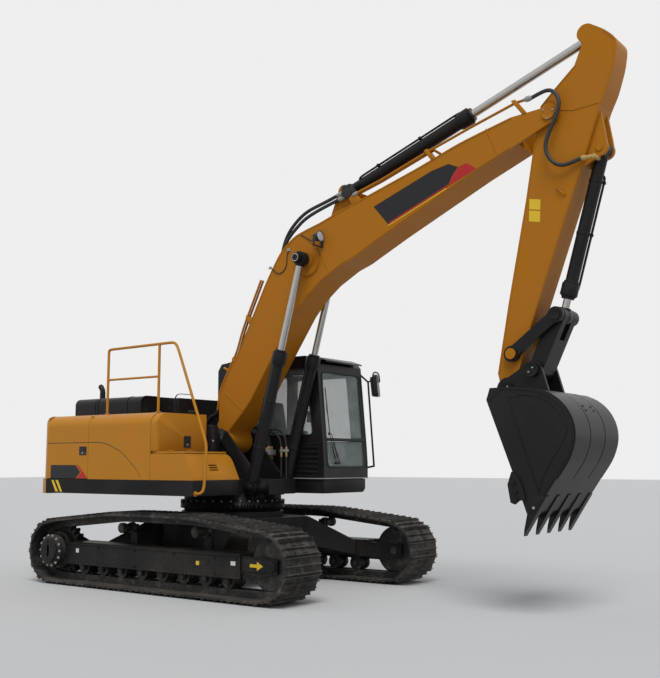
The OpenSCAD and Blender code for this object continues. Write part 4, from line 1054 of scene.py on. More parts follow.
# seat: crowned cushions, base, consoles, levers
def cushion(low, high, crown, seams, pinch=0.012):
    pad = block(low, high)
    only(pad)
    bpy.ops.object.mode_set(mode="EDIT")
    bpy.ops.mesh.select_all(action="SELECT")
    bpy.ops.mesh.subdivide(number_cuts=15)
    bpy.ops.object.mode_set(mode="OBJECT")
    mid = [(a + b) / 2 for a, b in zip(low, high)]
    half = [(b - a) / 2 for a, b in zip(low, high)]
    for corner in pad.data.vertices:
        u, v, w = ((corner.co[i] - mid[i]) / half[i] for i in range(3))
        shrink = (1 - 0.10 * (v * v + w * w) / 2, 1 - 0.10 * (u * u + w * w) / 2, 1 - 0.22 * (u * u + v * v) / 2)
        top = max(0.0, w)
        groove = sum(math.exp(-((v - s) / 0.035) ** 2) for s in seams) * 0.009 * top
        corner.co.x = mid[0] + u * half[0] * shrink[0] - u * pinch * (1 - v * v)
        corner.co.y = mid[1] + v * half[1] * shrink[1] - v * pinch * (1 - u * u)
        corner.co.z = mid[2] + w * half[2] * shrink[2] + crown * top * (1 - u * u) * (1 - v * v) - groove
    softer = pad.modifiers.new("round", "SUBSURF")
    softer.levels = softer.render_levels = 1
    bpy.ops.object.modifier_apply(modifier="round")
    return smoothed(pad, 70)


seatSet = {"cushion": ((-0.14, 0.66, 1.632), (0.44, 1.15, 1.752)), "lean": 80.0, "crown": 0.018, "fill": 0.6}
low, high = seatSet["cushion"]
base = cushion(low, high, seatSet["crown"], (-0.55, 0.55))
backPad = cushion((-0.29, 0.67, 0.0), (0.29, 1.14, 0.125), 0.020, (-0.52, 0.52))
backPad.data.transform(stood((-0.055, 0, 2.065), 0, seatSet["lean"]) @ Matrix.Translation((0, 0, -0.10)))
headPad = cushion((-0.09, 0.76, 0.0), (0.09, 1.05, 0.095), 0.014, ())
headPad.data.transform(stood((-0.150, 0, 2.470), 0, seatSet["lean"]) @ Matrix.Translation((0, 0, -0.085)))
for pad, name in ((base, "seatCushion"), (backPad, "seatBack"), (headPad, "seatHead")):
    add(pad, name, materials["seat"], "house")
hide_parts("seat")
plinth = block((-0.10, 0.72, cabSet["floor"]), (0.40, 1.09, 1.475))
pressed(plinth, eitherSide, 0.02, -0.006)
bellows = [eased(plinth, 0.008)]
for i in range(4):
    z = 1.480 + i * 0.037
    bellows.append(eased(block((-0.085 - 0.010 * (i % 2), 0.735 - 0.010 * (i % 2), z),
                               (0.385 + 0.010 * (i % 2), 1.075 + 0.010 * (i % 2), z + 0.035)), 0.014, 3))
tray = block((-0.13, 0.67, 1.622), (0.43, 1.14, 1.640))
add(joined(bellows + [eased(tray, 0.005)]), "seatBase", seal, "house")
consoles, knobs = [], []
for y in (0.575, 1.255):
    box = slabY([(-0.06, cabSet["floor"]), (-0.06, 1.83), (0.02, 1.885), (0.30, 1.899), (0.53, 1.850),
                 (0.555, 1.78), (0.50, 1.60), (0.50, cabSet["floor"])], y - 0.055, y + 0.055)
    consoles.append(eased(box, 0.018, 3))
    consoles.append(eased(block((-0.12, y - 0.045, 1.905), (0.22, y + 0.045, 1.940)), 0.014, 3))
    for k in range(4):
        z = 1.868 + k * 0.014
        consoles.append(eased(rod((0.42, y, z), (0.42, y, z + 0.014), 0.036 - k * 0.006, 20), 0.004, 2))
    knobs.append(hose([(0.42, y, 1.91), (0.425, y, 1.96), (0.44, y, 2.00)], 0.008, 3))
    grip = rod((0.436, y, 1.985), (0.455, y, 2.075), 0.021, 20, 0.026)
    knobs.append(eased(grip, 0.010, 3))
add(joined(consoles), "seatConsoles", seal, "house")
add(smoothed(joined(knobs)), "controlLevers", seal, "house")
pedals = []
for y in (0.80, 0.94):
    foot = slabY([(0.80, 1.40), (0.98, 1.47), (0.985, 1.458), (0.806, 1.386)], y - 0.045, y + 0.045)
    pedals += [eased(foot, 0.004), hose([(0.86, y, 1.42), (0.84, y, 1.60), (0.80, y, 1.76), (0.79, y, 1.80)], 0.009, 3),
               rod((0.86, y, 1.346), (0.88, y, 1.43), 0.012, 12)]
    pedals.append(eased(rod((0.792, y, 1.79), (0.785, y, 1.85), 0.017, 16), 0.007, 3))
add(joined(pedals), "travelPedals", seal, "house")
screen = block((0.83, 0.475, 2.02), (0.86, 0.665, 2.16))
pressed(screen, facing(x=-1), 0.012, -0.004)
add(joined([eased(screen, 0.006), hose([(0.86, 0.57, 2.05), (0.92, 0.55, 1.96), (0.94, 0.50, 1.86)], 0.010, 3)]),
    "cabMonitor", seal, "house")
floorMat = block((0.05, 0.47, cabSet["floor"]), (1.08, 1.34, cabSet["floor"] + 0.008))
pressed(floorMat, facing(z=1), 0.02, -0.003)
add(eased(floorMat, 0.003), "cabFloorMat", rubberBlack, "house")
print("cab fitted")

# hoses and fittings on the deck beside the boom's foot
lineSet = {"radius": 0.017, "x": 0.355, "nut": 0.023}
lines, tails, fittings = [], [], []
for i, y in enumerate((0.290, 0.330, 0.370)):
    x = lineSet["x"] - 0.012 * i
    lines.append(hose([(x, y, 1.295), (x, y, 1.40), (x, y, 1.55), (x - 0.005, y, 1.72), (x - 0.07, y, 1.90),
                       (x - 0.20, y, 1.985), (x - 0.36, y, 1.96), (x - 0.50, y * 0.9, 1.86),
                       (x - 0.62, y * 0.8, 1.78)], lineSet["radius"], 4))
    tails += [eased(rod((x, y, 1.545), (x, y, 1.600), lineSet["nut"], 6), 0.002, 1),
              eased(rod((x, y, 1.672), (x - 0.002, y, 1.715), lineSet["nut"], 6), 0.002, 1)]
fittings.append(eased(block((0.310, 0.265, 1.600), (0.385, 0.395, 1.672)), 0.005))
fittings.append(eased(block((0.318, 0.2585, 1.575), (0.345, 0.28, 1.70)), 0.004))
for x in (0.607, 0.689):
    k = (x - 0.607) * 0.4
    lines.append(hose([(x, 0.236, 1.27), (x, 0.236, 1.40), (x, 0.236, 1.56), (x, 0.236, 1.70),
                       (x - 0.02, 0.236, 1.81 + k), (x - 0.10, 0.237, 1.885 + k), (x - 0.22, 0.240, 1.905 + k),
                       (0.28, 0.278, 1.88 + k), (0.20, 0.305, 1.80), (0.15 - k, 0.315, 1.65),
                       (0.14 - k, 0.315, 1.45), (0.14 - k, 0.315, 1.295)], 0.012, 4))
    tails += [eased(rod((x, 0.236, 1.577), (x, 0.236, 1.640), 0.0135, 6), 0.001, 1),
              eased(rod((x, 0.236, 1.676), (x, 0.236, 1.705), 0.0135, 6), 0.001, 1)]
fittings.append(eased(block((0.589, 0.2235, 1.640), (0.721, 0.2475, 1.676)), 0.004))
fittings.append(eased(block((0.560, 0.2285, 1.250), (0.730, 0.2335, 1.300)), 0.002))
add(smoothed(joined(lines)), "deckHoses", rubberBlack, "house")
add(joined(tails), "deckHoseTails", brass, "house")
add(joined(fittings), "deckHoseBlocks", zinc, "house")
print("deck hoses made")


# ---- boom: hoses, pipes, clamps, lamp, welds and its blank sign
boomSet = {"foot": (-0.023, 1.789), "angle": 36.2, "halfWidth": 0.210, "hose": 0.021, "collar": 0.0255, "nut": 0.030,
           "pipe": 0.015, "pipeY": -0.195}
armSet = {"angle": -100.6, "halfWidth": 0.155, "tip": (4.5605, 5.1436), "hinge": (4.0216, 2.2636)}
liftPin, liftFoot = (1.3663, 3.9645), (0.600, 1.210)
armFoot, armEye = (1.8522, 4.7737), (4.9777, 5.9324)
curlFoot, linkTop, linkLow, rockerPin = (5.063, 4.7027), (4.5728, 3.0071), (4.3094, 2.4502), (4.0717, 2.6348)
hw, hr, pipeR, py = boomSet["halfWidth"], boomSet["hose"], boomSet["pipe"], boomSet["pipeY"]
boomTop = [(-35, 151), (120, 236), (304, 498), (661, 670), (845, 723), (1688, 1132), (1980, 1253), (2172, 1311),
           (2453, 1315), (2836, 1177), (3122, 1086), (4214, 704), (4748, 536), (5355, 292), (5651, 105)]
boomLow = [(5640, -98), (5146, 21), (4677, 136), (3501, 380), (2916, 487), (2724, 544), (2405, 587), (2158, 580),
           (1878, 528), (1239, 306), (695, 106), (520, 67), (176, 15), (-20, -150)]
armBack = [(-949, 292), (-870, 468), (-765, 601), (-620, 622), (-500, 619), (-266, 588), (-75, 537), (365, 466),
           (909, 368), (1967, 181), (2250, 131), (2783, 62)]
armFront = [(2860, -130), (2780, -165), (1996, -160), (922, -135), (443, -137), (180, -125), (-92, -127),
            (-266, -1), (-513, 190), (-645, 219)]
onBoom, onArm = placer(boomSet["foot"], boomSet["angle"]), placer(armSet["tip"], armSet["angle"])


def topAt(u):
    for (a, p), (b, q) in zip(boomTop, boomTop[1:]):
        if a <= u <= b:
            return p + (q - p) * (u - a) / (b - a)
    return 0.0


def plateOf(spots, y0, y1, at):  # an outline in the boom's or arm's own lengths, between two widths
    return slabY([(at(u, v)[0], at(u, v)[2]) for u, v in spots], y0, y1)


hoseA = [(0.650, 0.060, 3.720), (0.700, 0.045, 3.850), (0.765, 0.005, 3.985), (0.850, -0.065, 4.130),
         (0.940, -0.135, 4.250), (1.040, -0.165, 4.375), (1.135, -0.165, 4.465), (1.215, -0.165, 4.530),
         (1.340, -0.165, 4.600), (1.525, -0.165, 4.645), (1.680, -0.165, 4.685), (1.880, -0.165, 4.745)]
hoseB = [(0.650, -0.020, 3.720), (0.720, -0.040, 3.850), (0.800, -0.080, 3.990), (0.900, -0.130, 4.130),
         (0.980, -0.160, 4.230), (1.055, -0.165, 4.320), (1.165, -0.165, 4.410), (1.260, -0.165, 4.485),
         (1.400, -0.165, 4.550), (1.605, -0.165, 4.610), (1.900, -0.165, 4.690)]
backHoses = [hose(hoseA, hr, 5), hose(hoseB, hr, 5)]
add(smoothed(joined(backHoses)), "boomHoses", rubberBlack, "boom")
collars = []
for line in (hoseA, hoseB):
    a, b = Vector(line[0]), Vector(line[1])
    way = (b - a).normalized()
    collars += [rod(a - way * 0.02, a + way * 0.075, boomSet["collar"], 20),
                rod(a + way * 0.010, a + way * 0.045, boomSet["nut"], 6)]
    a, b = Vector(line[-1]), Vector(line[-2])
    way = (b - a).normalized()
    collars += [rod(a, a + way * 0.09, boomSet["collar"], 20)]
add(easedAll(collars, 0.002, 1), "boomHoseEnds", zinc, "boom")
stand = plateOf([(1610, topAt(1610) - 4), (1610, topAt(1610) + 58), (1700, topAt(1700) + 58),
                 (1700, topAt(1700) - 4)], -0.060, 0.100, onBoom)
clampBlock = plateOf([(3244, 1220), (3317, 1320), (3434, 1253), (3416, 1131), (3303, 1125)], -0.204, -0.132, onBoom)
clampBolts = [rod(onBoom(u, v, -0.206), onBoom(u, v, -0.214), 0.010, 6)
              for u, v in ((3290, 1225), (3340, 1285), (3400, 1240), (3390, 1160))]
add(joined([eased(stand, 0.010), eased(clampBlock, 0.008)] + clampBolts), "boomHoseBlocks", seal, "boom")

pipeLine = [(3392, 1104), (3748, 971), (4411, 764), (4949, 581), (5497, 380), (5593, 322)]


def tube(line, y):
    return hose([onBoom(u, v, y) for u, v in line], pipeR, 4)


def roundPath(line):  # a few more points, so that the bends are short
    out = [line[0]]
    for a, b in zip(line, line[1:]):
        for k in (0.12, 0.5, 0.88):
            out.append((a[0] + (b[0] - a[0]) * k, a[1] + (b[1] - a[1]) * k))
        out.append(b)
    return out


second = pipeLine[:3] + [(4471, 744), (4500, 650)]
add(smoothed(joined([tube(roundPath(pipeLine), py), tube(roundPath(second), py + 0.042)])), "boomPipes", armShadedYellow,
    "boom")
brackets = [plateOf([(3290, topAt(3290) - 3), (3303, 1122), (3416, 1128), (3425, topAt(3425) - 3)], py - 0.005,
                    py + 0.060, onBoom)]
for u0, high, wide in ((4385, 155, 0.064), (5470, 215, 0.02)):
    brackets.append(plateOf([(u0, topAt(u0) - 3), (u0, topAt(u0) + high), (u0 + 46, topAt(u0 + 46) + high),
                             (u0 + 46, topAt(u0 + 46) - 3)],
                            py - 0.024, py + wide, onBoom))
add(easedAll(brackets, 0.006), "pipeBrackets", armShadedYellow, "boom")
nuts = [rod(onBoom(5585, 327, py), onBoom(5661, 281, py), 0.026, 6),
        rod(onBoom(5600, 318, py), onBoom(5640, 294, py), 0.031, 20),
        rod(onBoom(3375, 1110, py), onBoom(3440, 1086, py), 0.024, 6)]
add(easedAll(nuts, 0.002, 1), "pipeNuts", zinc, "boom")

loopHose = [(4.380, -0.195, 5.359), (4.450, -0.200, 5.378), (4.535, -0.215, 5.395), (4.605, -0.225, 5.380),
            (4.665, -0.235, 5.330), (4.700, -0.245, 5.245), (4.700, -0.250, 5.175), (4.665, -0.250, 5.085),
            (4.620, -0.250, 5.000), (4.580, -0.250, 4.920), (4.545, -0.250, 4.840), (4.530, -0.245, 4.760),
            (4.550, -0.240, 4.685), (4.590, -0.235, 4.615), (4.650, -0.225, 4.565), (4.710, -0.215, 4.550),
            (4.780, -0.205, 4.560), (4.840, -0.195, 4.580), (4.900, -0.190, 4.596)]
crossing = smoothed(hose(loopHose, hr, 5))
crossing.name = "loopHose"
crossing.data.materials.append(rubberBlack)
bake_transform(crossing)
portAt = placedAt(curlFoot, math.degrees(math.atan2(linkTop[1] - curlFoot[1], linkTop[0] - curlFoot[0])),
                  (0.110, 0.0))
elbow = [rod((4.885, -0.190, 4.593), (portAt[0] - 0.02, -0.188, portAt[1]), 0.019, 20),
         rod((4.90, -0.190, 4.596), (4.95, -0.190, 4.597), 0.027, 6),
         rod((portAt[0], -0.200, portAt[1]), (portAt[0], -0.060, portAt[1]), 0.022, 20)]
add(easedAll(elbow, 0.003, 2), "curlElbow", brass, "curl_barrel")

lampSet = {"at": (1.591, -0.294, 4.211), "radius": 0.070}
lx, ly, lz = lampSet["at"]
shell = rod((lx - 0.030, ly, lz - 0.003), (lx + 0.046, ly, lz + 0.005), 0.046, 40, lampSet["radius"])
pressed(shell, facing(x=1), 0.007, -0.010)
backCap = rod((lx - 0.055, ly, lz - 0.005), (lx - 0.028, ly, lz - 0.003), 0.030, 32, 0.046)
arms = [block((lx - 0.020, ly - 0.082, lz - 0.110), (lx + 0.020, ly - 0.076, lz + 0.02)),
        block((lx - 0.020, ly + 0.076, lz - 0.110), (lx + 0.020, ly + 0.082, lz + 0.02)),
        block((lx - 0.020, ly - 0.082, lz - 0.116), (lx + 0.020, -hw + 0.001, lz - 0.108))]
add(joined([eased(shell, 0.003), eased(backCap, 0.003)] + [eased(piece, 0.003, 1) for piece in arms]), "workLamp",
    seal, "boom")
glassDisc = rod((lx + 0.034, ly, lz + 0.004), (lx + 0.041, ly, lz + 0.005), 0.061, 40)
pressed(glassDisc, facing(x=1), 0.02, 0.003)
add(eased(glassDisc, 0.002), "workLampPane", extra["lampPane"], "boom")
cable = hose([(lx - 0.05, ly, lz - 0.01), (lx - 0.09, ly + 0.02, lz - 0.03), (1.460, -0.225, 4.190),
              (1.40, -0.216, 4.215), (1.33, -0.216, 4.262), (1.262, -0.212, 4.300)], 0.006, 3)
add(smoothed(cable), "workLampCable", rubberBlack, "boom")

weldSet = {"radius": 0.006}


def bead(points, closed=False):
    return hose(points, weldSet["radius"], 2, closed=closed, smooth=False)


beads = []
for s in (-1, 1):
    y = s * (hw + 0.0005)
    beads.append(bead([onBoom(u, v - 14, y) for u, v in boomTop[1:-1]]))
    beads.append(bead([onBoom(u, v + 14, y) for u, v in boomLow[1:-1]]))
    for u in (2590, 5020):
        low = next(q + (p - q) * (u - b) / (a - b) for (a, p), (b, q) in zip(boomLow, boomLow[1:]) if b <= u <= a)
        beads.append(bead([onBoom(u - 20, low + 16, y), onBoom(u + 60, topAt(u) - 16, y)]))
    beads.append(bead([(liftPin[0] + 0.196 * math.cos(a * math.tau / 40), s * (hw + 0.001),
                        liftPin[1] + 0.196 * math.sin(a * math.tau / 40)) for a in range(40)], closed=True))
add(smoothed(joined(beads)), "boomWelds", armShadedYellow, "boom")

blackPart = [(2.352, 4.484), (2.555, 4.241), (3.347, 4.560), (3.402, 4.672), (3.478, 4.757), (3.359, 4.814),
             (3.140, 4.772)]
redPart = [(3.355, 4.563), (3.708, 4.700), (3.584, 4.781), (3.488, 4.757), (3.410, 4.670)]
for s, tag in ((-1, ""), (1, "Left")):
    lift, liftOver = side(s * (hw + 0.0022)), side(s * (hw + 0.0036))
    add(sheetOf(blackPart, 0.0015, lift), "boomSign" + tag, extra["labelBlack"], "boom")
    edge = [(2.560, 4.262), (2.566, 4.245), (3.350, 4.562), (3.356, 4.580)]
    red = [sheetOf(redPart, 0.0015, lift), sheetOf(edge, 0.0012, liftOver)]
    add(joined(red), "boomSignTail" + tag, extra["labelRed"], "boom")
    add(sheetOf([(2.545, 4.232), (2.551, 4.221), (3.330, 4.533), (3.326, 4.545)], 0.0012, lift),
        "boomSignLine" + tag, extra["labelYellow"], "boom")

# pins: locking plates, bolts and grease points
pinSet = {"bolt": 0.009}
plates, bolts, zerks = [], [], []
for (x, z), y, r in ((liftPin, hw + 0.040, 0.075), (armSet["tip"], hw + 0.008, 0.072)):
    for s in (-1, 1):
        plates.append(disc(x, z, s * (y - 0.002), s * (y + 0.010), r, 0.018, -0.006, 0.003, 40))
        for a in (20, 140, 260):
            u, v = polar((x, z), r * 0.82, a)
            bolts.append(((u, s * (y + 0.008), v), (0, s, 0)))
        zerks.append(((x, s * (y + 0.004), z), (0, s, 0)))
add(joined(plates), "boomPinCaps", armShadedYellow, "boom")
add(copies(hexBolt(pinSet["bolt"], 0.008), bolts), "boomPinBolts", zinc, "boom")
add(copies(smoothed(rod((0, 0, 0), (0, 0, 0.014), 0.006, 12, 0.004)), zerks), "boomGreasePoints", brass,
    "boom")
greaseLine = hose([(1.076, -0.214, 4.133), (1.045, -0.216, 4.073), (1.053, -0.216, 3.983), (1.030, -0.216, 3.910),
                   (0.982, -0.216, 3.859), (0.917, -0.216, 3.847), (0.868, -0.216, 3.865), (0.835, -0.216, 3.908),
                   (0.786, -0.214, 3.939)], 0.006, 3)
add(smoothed(greaseLine), "greaseLine", rubberBlack, "boom")
blocks = [block((1.055, -0.228, 4.115), (1.10, -0.209, 4.15)), block((0.76, -0.226, 3.922), (0.80, -0.209, 3.956))]
add(easedAll(blocks, 0.003, 1), "greaseBlocks", zinc, "boom")
print("boom dressed")

# ---- arm: stickers, welds, step, pin bolts
beads = []
for s in (-1, 1):
    y = s * (armSet["halfWidth"] + 0.0005)
    beads.append(bead([onArm(u, v - 13, y) for u, v in armBack[1:-1]]))
    beads.append(bead([onArm(u, v + 13, y) for u, v in armFront[1:-1]]))
    beads.append(bead([onArm(-60, -108, y), onArm(-40, 250, y), onArm(-110, 520, y)]))
    beads.append(bead([onArm(2560, -150, y), onArm(2540, 75, y)]))
add(smoothed(joined(beads)), "armWelds", armShadedYellow, "arm")
ay = -armSet["halfWidth"] - 0.0012
upper = sheetOf([(4.299, 4.272), (4.424, 4.246), (4.418, 4.135), (4.293, 4.160)], 0.0015, side(ay))
lower = sheetOf([(4.292, 4.148), (4.417, 4.123), (4.411, 4.006), (4.287, 4.030)], 0.0015, side(ay))
add(joined([eased(upper, 0.0004, 1), eased(lower, 0.0004, 1)]), "armLabels", extra["labelYellow"], "arm")
armStep = hose([(4.611, ay + 0.004, 4.339), (4.618, ay - 0.018, 4.333), (4.66, ay - 0.022, 4.292),
               (4.700, ay - 0.018, 4.254), (4.707, ay + 0.004, 4.248)], 0.008, 3)
add(smoothed(armStep), "armStep", armShadedYellow, "arm")
bolts = []
for pin, r in ((armSet["hinge"], 0.062), (linkLow, 0.056)):
    for s in (-1, 1):
        for a in (45, 225):
            u, v = polar(pin, r * 0.55, a)
            bolts.append(((u, s * 0.2625, v), (0, s, 0)))
add(copies(hexBolt(0.008, 0.008), bolts), "bucketPinBolts", zinc, "bucket")
print("arm dressed")


# ---- cylinders: glands, bolts, pipes along the barrels, eyes
cylSet = {"gland": (0.165, 0.034), "lip": (0.190, 0.160), "glandRise": 0.024, "lipRise": 0.012, "clamp": 0.030,
          "bolts": 8, "pipe": 0.013, "liftY": 0.335}


def dressCylinder(tag, body, a, b, y, length, r, pipeSide, foot=0.24, rows=(0.28, 0.62)):
    start, end = Vector((a[0], y, a[1])), Vector((b[0], y, b[1]))
    way = (end - start).normalized()
    acrossY = Vector((0, 1, 0))
    out = way.cross(acrossY)

    def at(t):
        return start + way * t

    def bored(piece):  # the rod slides inside
        return met(piece, rod(at(0.2), at(length + 0.1), r - 0.008, 40), "DIFFERENCE")

    gland = rod(at(length - cylSet["gland"][0]), at(length - cylSet["gland"][1]), r + cylSet["glandRise"], 40)
    pressed(gland, lambda c, n: abs(n.dot(way)) > 0.9, 0.010, 0.0)
    lip = rod(at(length - cylSet["lip"][0]), at(length - cylSet["lip"][1]), r + cylSet["lipRise"], 40)
    parts = [bored(eased(gland, 0.005, 2)), bored(eased(lip, 0.004, 2))]
    bolts = []
    for k in range(cylSet["bolts"]):
        turn = math.tau * k / cylSet["bolts"]
        spot = at(length - cylSet["gland"][1]) + (out * math.cos(turn) + acrossY * math.sin(turn)) * (r + 0.004)
        bolts.append((spot, way))
    parts.append(copies(hexBolt(0.010, 0.012), bolts))
    for k in rows:  # pipe clamps
        band = rod(at(length * k), at(length * k + cylSet["clamp"]), r + 0.005, 32)
        parts.append(bored(eased(band, 0.002, 1)))
    for outShare, sideShare in pipeSide:
        off = (out * outShare + acrossY * sideShare) * (r + cylSet["pipe"] + 0.006)
        line = [at(foot) + off * 0.62, at(foot + 0.004) + off, at(foot + 0.06) + off, at(length * 0.5) + off,
                at(length - 0.16) + off, at(length - 0.10) + off, at(length - 0.085) + off * 0.75]
        parts.append(smoothed(hose(line, cylSet["pipe"], 3)))
        for k in rows:
            parts.append(eased(rod(at(length * k) + off * 1.04, at(length * k + cylSet["clamp"]) + off * 1.04,
                                   cylSet["pipe"] + 0.006, 12), 0.002, 1))
    add(joined(parts), tag, black, body)


def neckOf(pin, toward, y, start, end, radius, sides, ease):  # the thick end of a rod, next to its eye
    base, way = Vector((pin[0], y, pin[1])), Vector((toward[0] - pin[0], 0, toward[1] - pin[1])).normalized()
    return eased(rod(base + way * start, base + way * end, radius, sides), ease)


liftShare = (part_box("boom_barrels")[1][2] - liftFoot[1]) / (liftPin[1] - liftFoot[1])
liftBarrel = liftShare * math.dist(liftPin, liftFoot) - 0.02
for s, tag in ((-1, "Right"), (1, "Left")):
    dressCylinder("liftGland" + tag, "lift_barrels", liftFoot, liftPin, s * cylSet["liftY"], liftBarrel, 0.069,
                  ((1.0, 0.0),), foot=0.30)
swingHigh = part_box("arm_barrel")[1]
swingBarrel = math.dist(armFoot, armEye) * (swingHigh[0] - 0.03 - armFoot[0]) / (armEye[0] - armFoot[0])
dressCylinder("armGland", "arm_barrel", armFoot, armEye, 0.0, swingBarrel, 0.078, ((0.75, -0.66),), foot=0.22)
dressCylinder("curlGland", "curl_barrel", curlFoot, linkTop, 0.0, math.dist(curlFoot, linkTop) * 0.894, 0.067,
              ((0.80, 0.60),), foot=0.26, rows=(0.20, 0.55))
sleeves = []
for s in (-1, 1):
    shell = rod((liftPin[0], s * 0.2825, liftPin[1]), (liftPin[0], s * 0.3875, liftPin[1]), 0.0872, 48)
    pressed(shell, eitherSide, 0.020, -0.002)
    cap = disc(*liftPin, s * 0.385, s * 0.4615, 0.060, 0.016, -0.006, 0.004)
    neck = neckOf(liftPin, liftFoot, s * cylSet["liftY"], 0.06, 0.092, 0.058, 32, 0.006)
    sleeves += [eased(shell, 0.004), cap, neck]
add(joined(sleeves), "liftEyes", black, "lift_rods")
curlEye = rod((linkTop[0], -0.0545, linkTop[1]), (linkTop[0], 0.0545, linkTop[1]), 0.0885, 40)
pressed(curlEye, eitherSide, 0.02, -0.002)
add(joined([eased(curlEye, 0.004), neckOf(linkTop, curlFoot, 0.0, 0.06, 0.094, 0.060, 28, 0.006)]), "curlEye",
    black, "curl_rod")
add(neckOf(armEye, armFoot, 0.0, 0.075, 0.105, 0.062, 28, 0.008), "armRodNeck", black, "arm_rod")


# ---- smooth backs over the boom's and arm's many-sided edges
def flowing(points, steps=5, pull=0.42):  # a curve through the points that stays close on the long straights
    pulls = []
    for i, (here, way) in enumerate(zip(points, ways(points))):
        near = [math.dist(here, p) for p in points[max(i - 1, 0):i + 2] if p != here]
        pulls.append(way * min(near))
    out = []
    for i in range(len(points) - 1):
        a, d = Vector(points[i]), Vector(points[i + 1])
        b, c = a + pulls[i] * pull * 0.8, d - pulls[i + 1] * pull * 0.8
        for k in range(steps):
            t = k / steps
            spot = a * (1 - t) ** 3 + b * 3 * t * (1 - t) ** 2 + c * 3 * t * t * (1 - t) + d * t ** 3
            out.append((spot.x, spot.y))
    return out + [tuple(points[-1])]


def backBand(points, inward, halfWidth, at, name, body):
    band = plateOf(flowing(points) + list(reversed(beside(points, inward))), -halfWidth, halfWidth, at)
    outwards(band)
    add(smoothed(band, 35), name, armShadedYellow, body)


backBand([p for p in armBack if p[0] < 400], 34, 0.1556, onArm, "armBackBand", "arm")
backBand([p for p in boomTop if 600 < p[0] < 5400], 34, 0.2106, onBoom, "boomBackBand", "boom")
backBand([p for p in boomLow if 600 < p[0] < 5200], 34, 0.2106, onBoom, "boomUnderBand", "boom")

# pipes from the hose stand down the boom's back to its foot, and the hoses that go on to the valves
rootSet = {"across": (-0.190, -0.145, 0.145, 0.190), "pipe": 0.014, "hose": 0.020}
rootPipes = []
for y in rootSet["across"]:
    line = [(1700, topAt(1700) + 120), (1600, topAt(1600) + 112), (1200, topAt(1200) + 104),
            (1020, topAt(1020) + 84), (845, 723 + 36), (661, 670 + 28), (500, 591 + 30), (304, 498 + 40),
            (205, 410), (150, 362)]
    rootPipes.append(smoothed(hose([onBoom(u, v, y) for u, v in line], rootSet["pipe"], 3)))
pipeClamps = [eased(plateOf([(u - 22, topAt(u - 22) - 4), (u - 22, topAt(u - 22) + tall),
                             (u + 22, topAt(u + 22) + tall), (u + 22, topAt(u + 22) - 4)], y - 0.042, y + 0.042,
                             onBoom), 0.008)
              for u, tall in ((1250, 118), (760, 52)) for y in (-0.1675, 0.1675)]
add(joined(rootPipes), "boomFootPipes", armShadedYellow, "boom")
add(joined(pipeClamps), "boomPipeClamps", armShadedYellow, "boom")
footHoses = []
for y in rootSet["across"]:
    a = onBoom(165, 372, y)
    b = onBoom(100, 320, y)
    footHoses.append(smoothed(hose([a, b, (-0.235, y, 2.12), (-0.285, y, 2.03), (-0.345, y, 1.985),
                                    (-0.42, y, 2.0)], rootSet["hose"], 4)))
footLine = joined(footHoses)
footLine.name = "boomFootHoses"
footLine.data.materials.append(rubberBlack)
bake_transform(footLine)
extraBeads = [bead([(0.031, s * (hw + 0.0005), 2.394), (0.325, s * (hw + 0.0005), 2.166)]) for s in (-1, 1)]
add(smoothed(joined(extraBeads)), "boomRootWelds", armShadedYellow, "boom")
print("cylinders dressed")

# ---- bucket: wear plates, tooth sleeves, side cutters' bolts, welds and caps
bucketSet = {"angle": -77.7, "half": 0.580, "plateRise": 8, "plateAt": (-0.384, 0.0, 0.384), "plateHalf": 0.185,
             "tooth": 0.270, "toothHalf": 0.047}
onBucket = placer(armSet["hinge"], bucketSet["angle"])
shellLine = [(169, 519), (248, 624), (352, 704), (470, 750), (585, 761), (693, 742), (795, 694), (901, 615),
             (1040, 466)]
plates = []
for y in bucketSet["plateAt"]:
    outer = flowing(shellLine, 3)
    shift = beside(outer, -bucketSet["plateRise"])
    inner = [(2 * a[0] - b[0], 2 * a[1] - b[1]) for a, b in zip(outer, shift)]
    plates.append(plateOf(shift + list(reversed(inner)), y - bucketSet["plateHalf"], y + bucketSet["plateHalf"],
                          onBucket))
add(easedAll(plates, 0.003, 1), "bucketWearStrips", black, "bucket")
toothPins, adapters = [], []
for i in range(-2, 3):
    y, half = i * bucketSet["tooth"], bucketSet["toothHalf"]
    sleeve = plateOf([(1172, 322), (1150, 215), (1255, 118), (1300, 96), (1318, 140), (1310, 196)], y - half,
                     y + half, onBucket)
    adapters.append(eased(sleeve, 0.010, 2))
    for s in (-1, 1):
        spot = onBucket(1262, 172, y + s * (half - 0.001))
        toothPins.append((spot, (0, s, 0)))
add(joined(adapters), "toothAdapters", black, "bucket")
add(copies(capScrew(0.014, 0.008), toothPins), "toothPins", zinc, "bucket")
cutterBolts = [(onBucket(u, v, s * (bucketSet["half"] + 0.022)), (0, s, 0))
               for s in (-1, 1) for u, v in ((985, 25), (1075, 30), (1145, 20))]
add(copies(hexBolt(0.018, 0.018), cutterBolts), "cutterBolts", black, "bucket")
rims = []
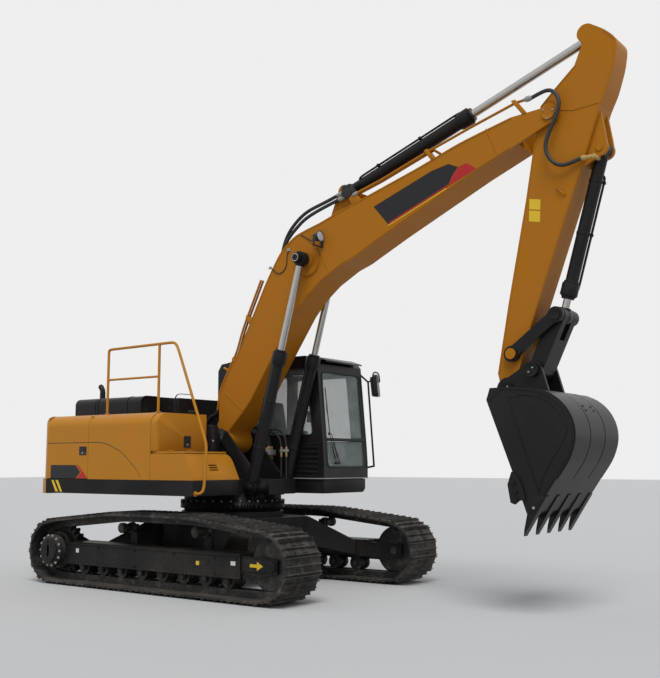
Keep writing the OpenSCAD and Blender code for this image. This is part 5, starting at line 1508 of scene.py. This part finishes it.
for s in (-1, 1):  # side edge welds
    rims.append(bead([onBucket(u, v, s * (bucketSet["half"] + 0.0005)) for u, v in
                      [(133, -60), (52, 110), (92, 272), (133, 390), (190, 506), (264, 605), (362, 682), (472, 726),
                       (585, 737), (688, 719), (783, 674), (885, 598), (1176, 288)]]))
add(smoothed(joined(rims)), "bucketWelds", black, "bucket")
panel = [(149, 153), (160, 330), (209, 457), (310, 592), (451, 675), (602, 690), (709, 610), (856, 456), (990, 330),
         (1130, 262)]
frames = []
for s in (-1, 1):
    rib = [onBucket(u, v, s * (bucketSet["half"] + 0.001)) for u, v in panel + [panel[0]]]
    frames.append(hose(rib, 0.007, 2, smooth=False))
add(smoothed(joined(frames)), "bucketSideRibs", black, "bucket")
dots = [(onBucket(*uv, y), (math.sin(math.radians(turn)), 0, math.cos(math.radians(turn))))
        for uv, turn in (((352, 713), 25), ((400, 734), 38)) for y in (-0.10, 0.10)]
add(copies(capScrew(0.016, 0.006), dots), "bucketPlugs", seal, "bucket")
caps = []
rockLow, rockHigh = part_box("rockers")
for s, face in ((-1, rockLow[1]), (1, rockHigh[1])):
    caps.append(disc(*rockerPin, face - s * 0.004, face + s * 0.016, 0.068, 0.018, -0.006, 0.003))
    caps.append(disc(*linkTop, face - s * 0.004, face + s * 0.014, 0.055, 0.016, -0.006, 0.003))
add(joined(caps), "rockerCaps", black, "rockers")
bosses = [disc(*pin, s * 0.232, s * 0.262, 0.072, 0.020, -0.008, 0.004)
          for s in (-1, 1) for pin in (linkLow, armSet["hinge"])]
add(joined(bosses), "bucketBosses", black, "bucket")
rings = [eased(rod((liftPin[0], s * 0.4600, liftPin[1]), (liftPin[0], s * 0.4655, liftPin[1]), 0.040, 28), 0.002, 1)
         for s in (-1, 1)]  # dark centres
add(joined(rings), "liftPinCentres", black, "lift_rods")
stub = [eased(rod((0.055, y, 2.68), (-0.040, y, 2.725), 0.016, 16), 0.004, 1) for y in (-0.16, 0.16)]
add(joined(stub), "boomStubs", armShadedYellow, "boom")
print("bucket dressed")
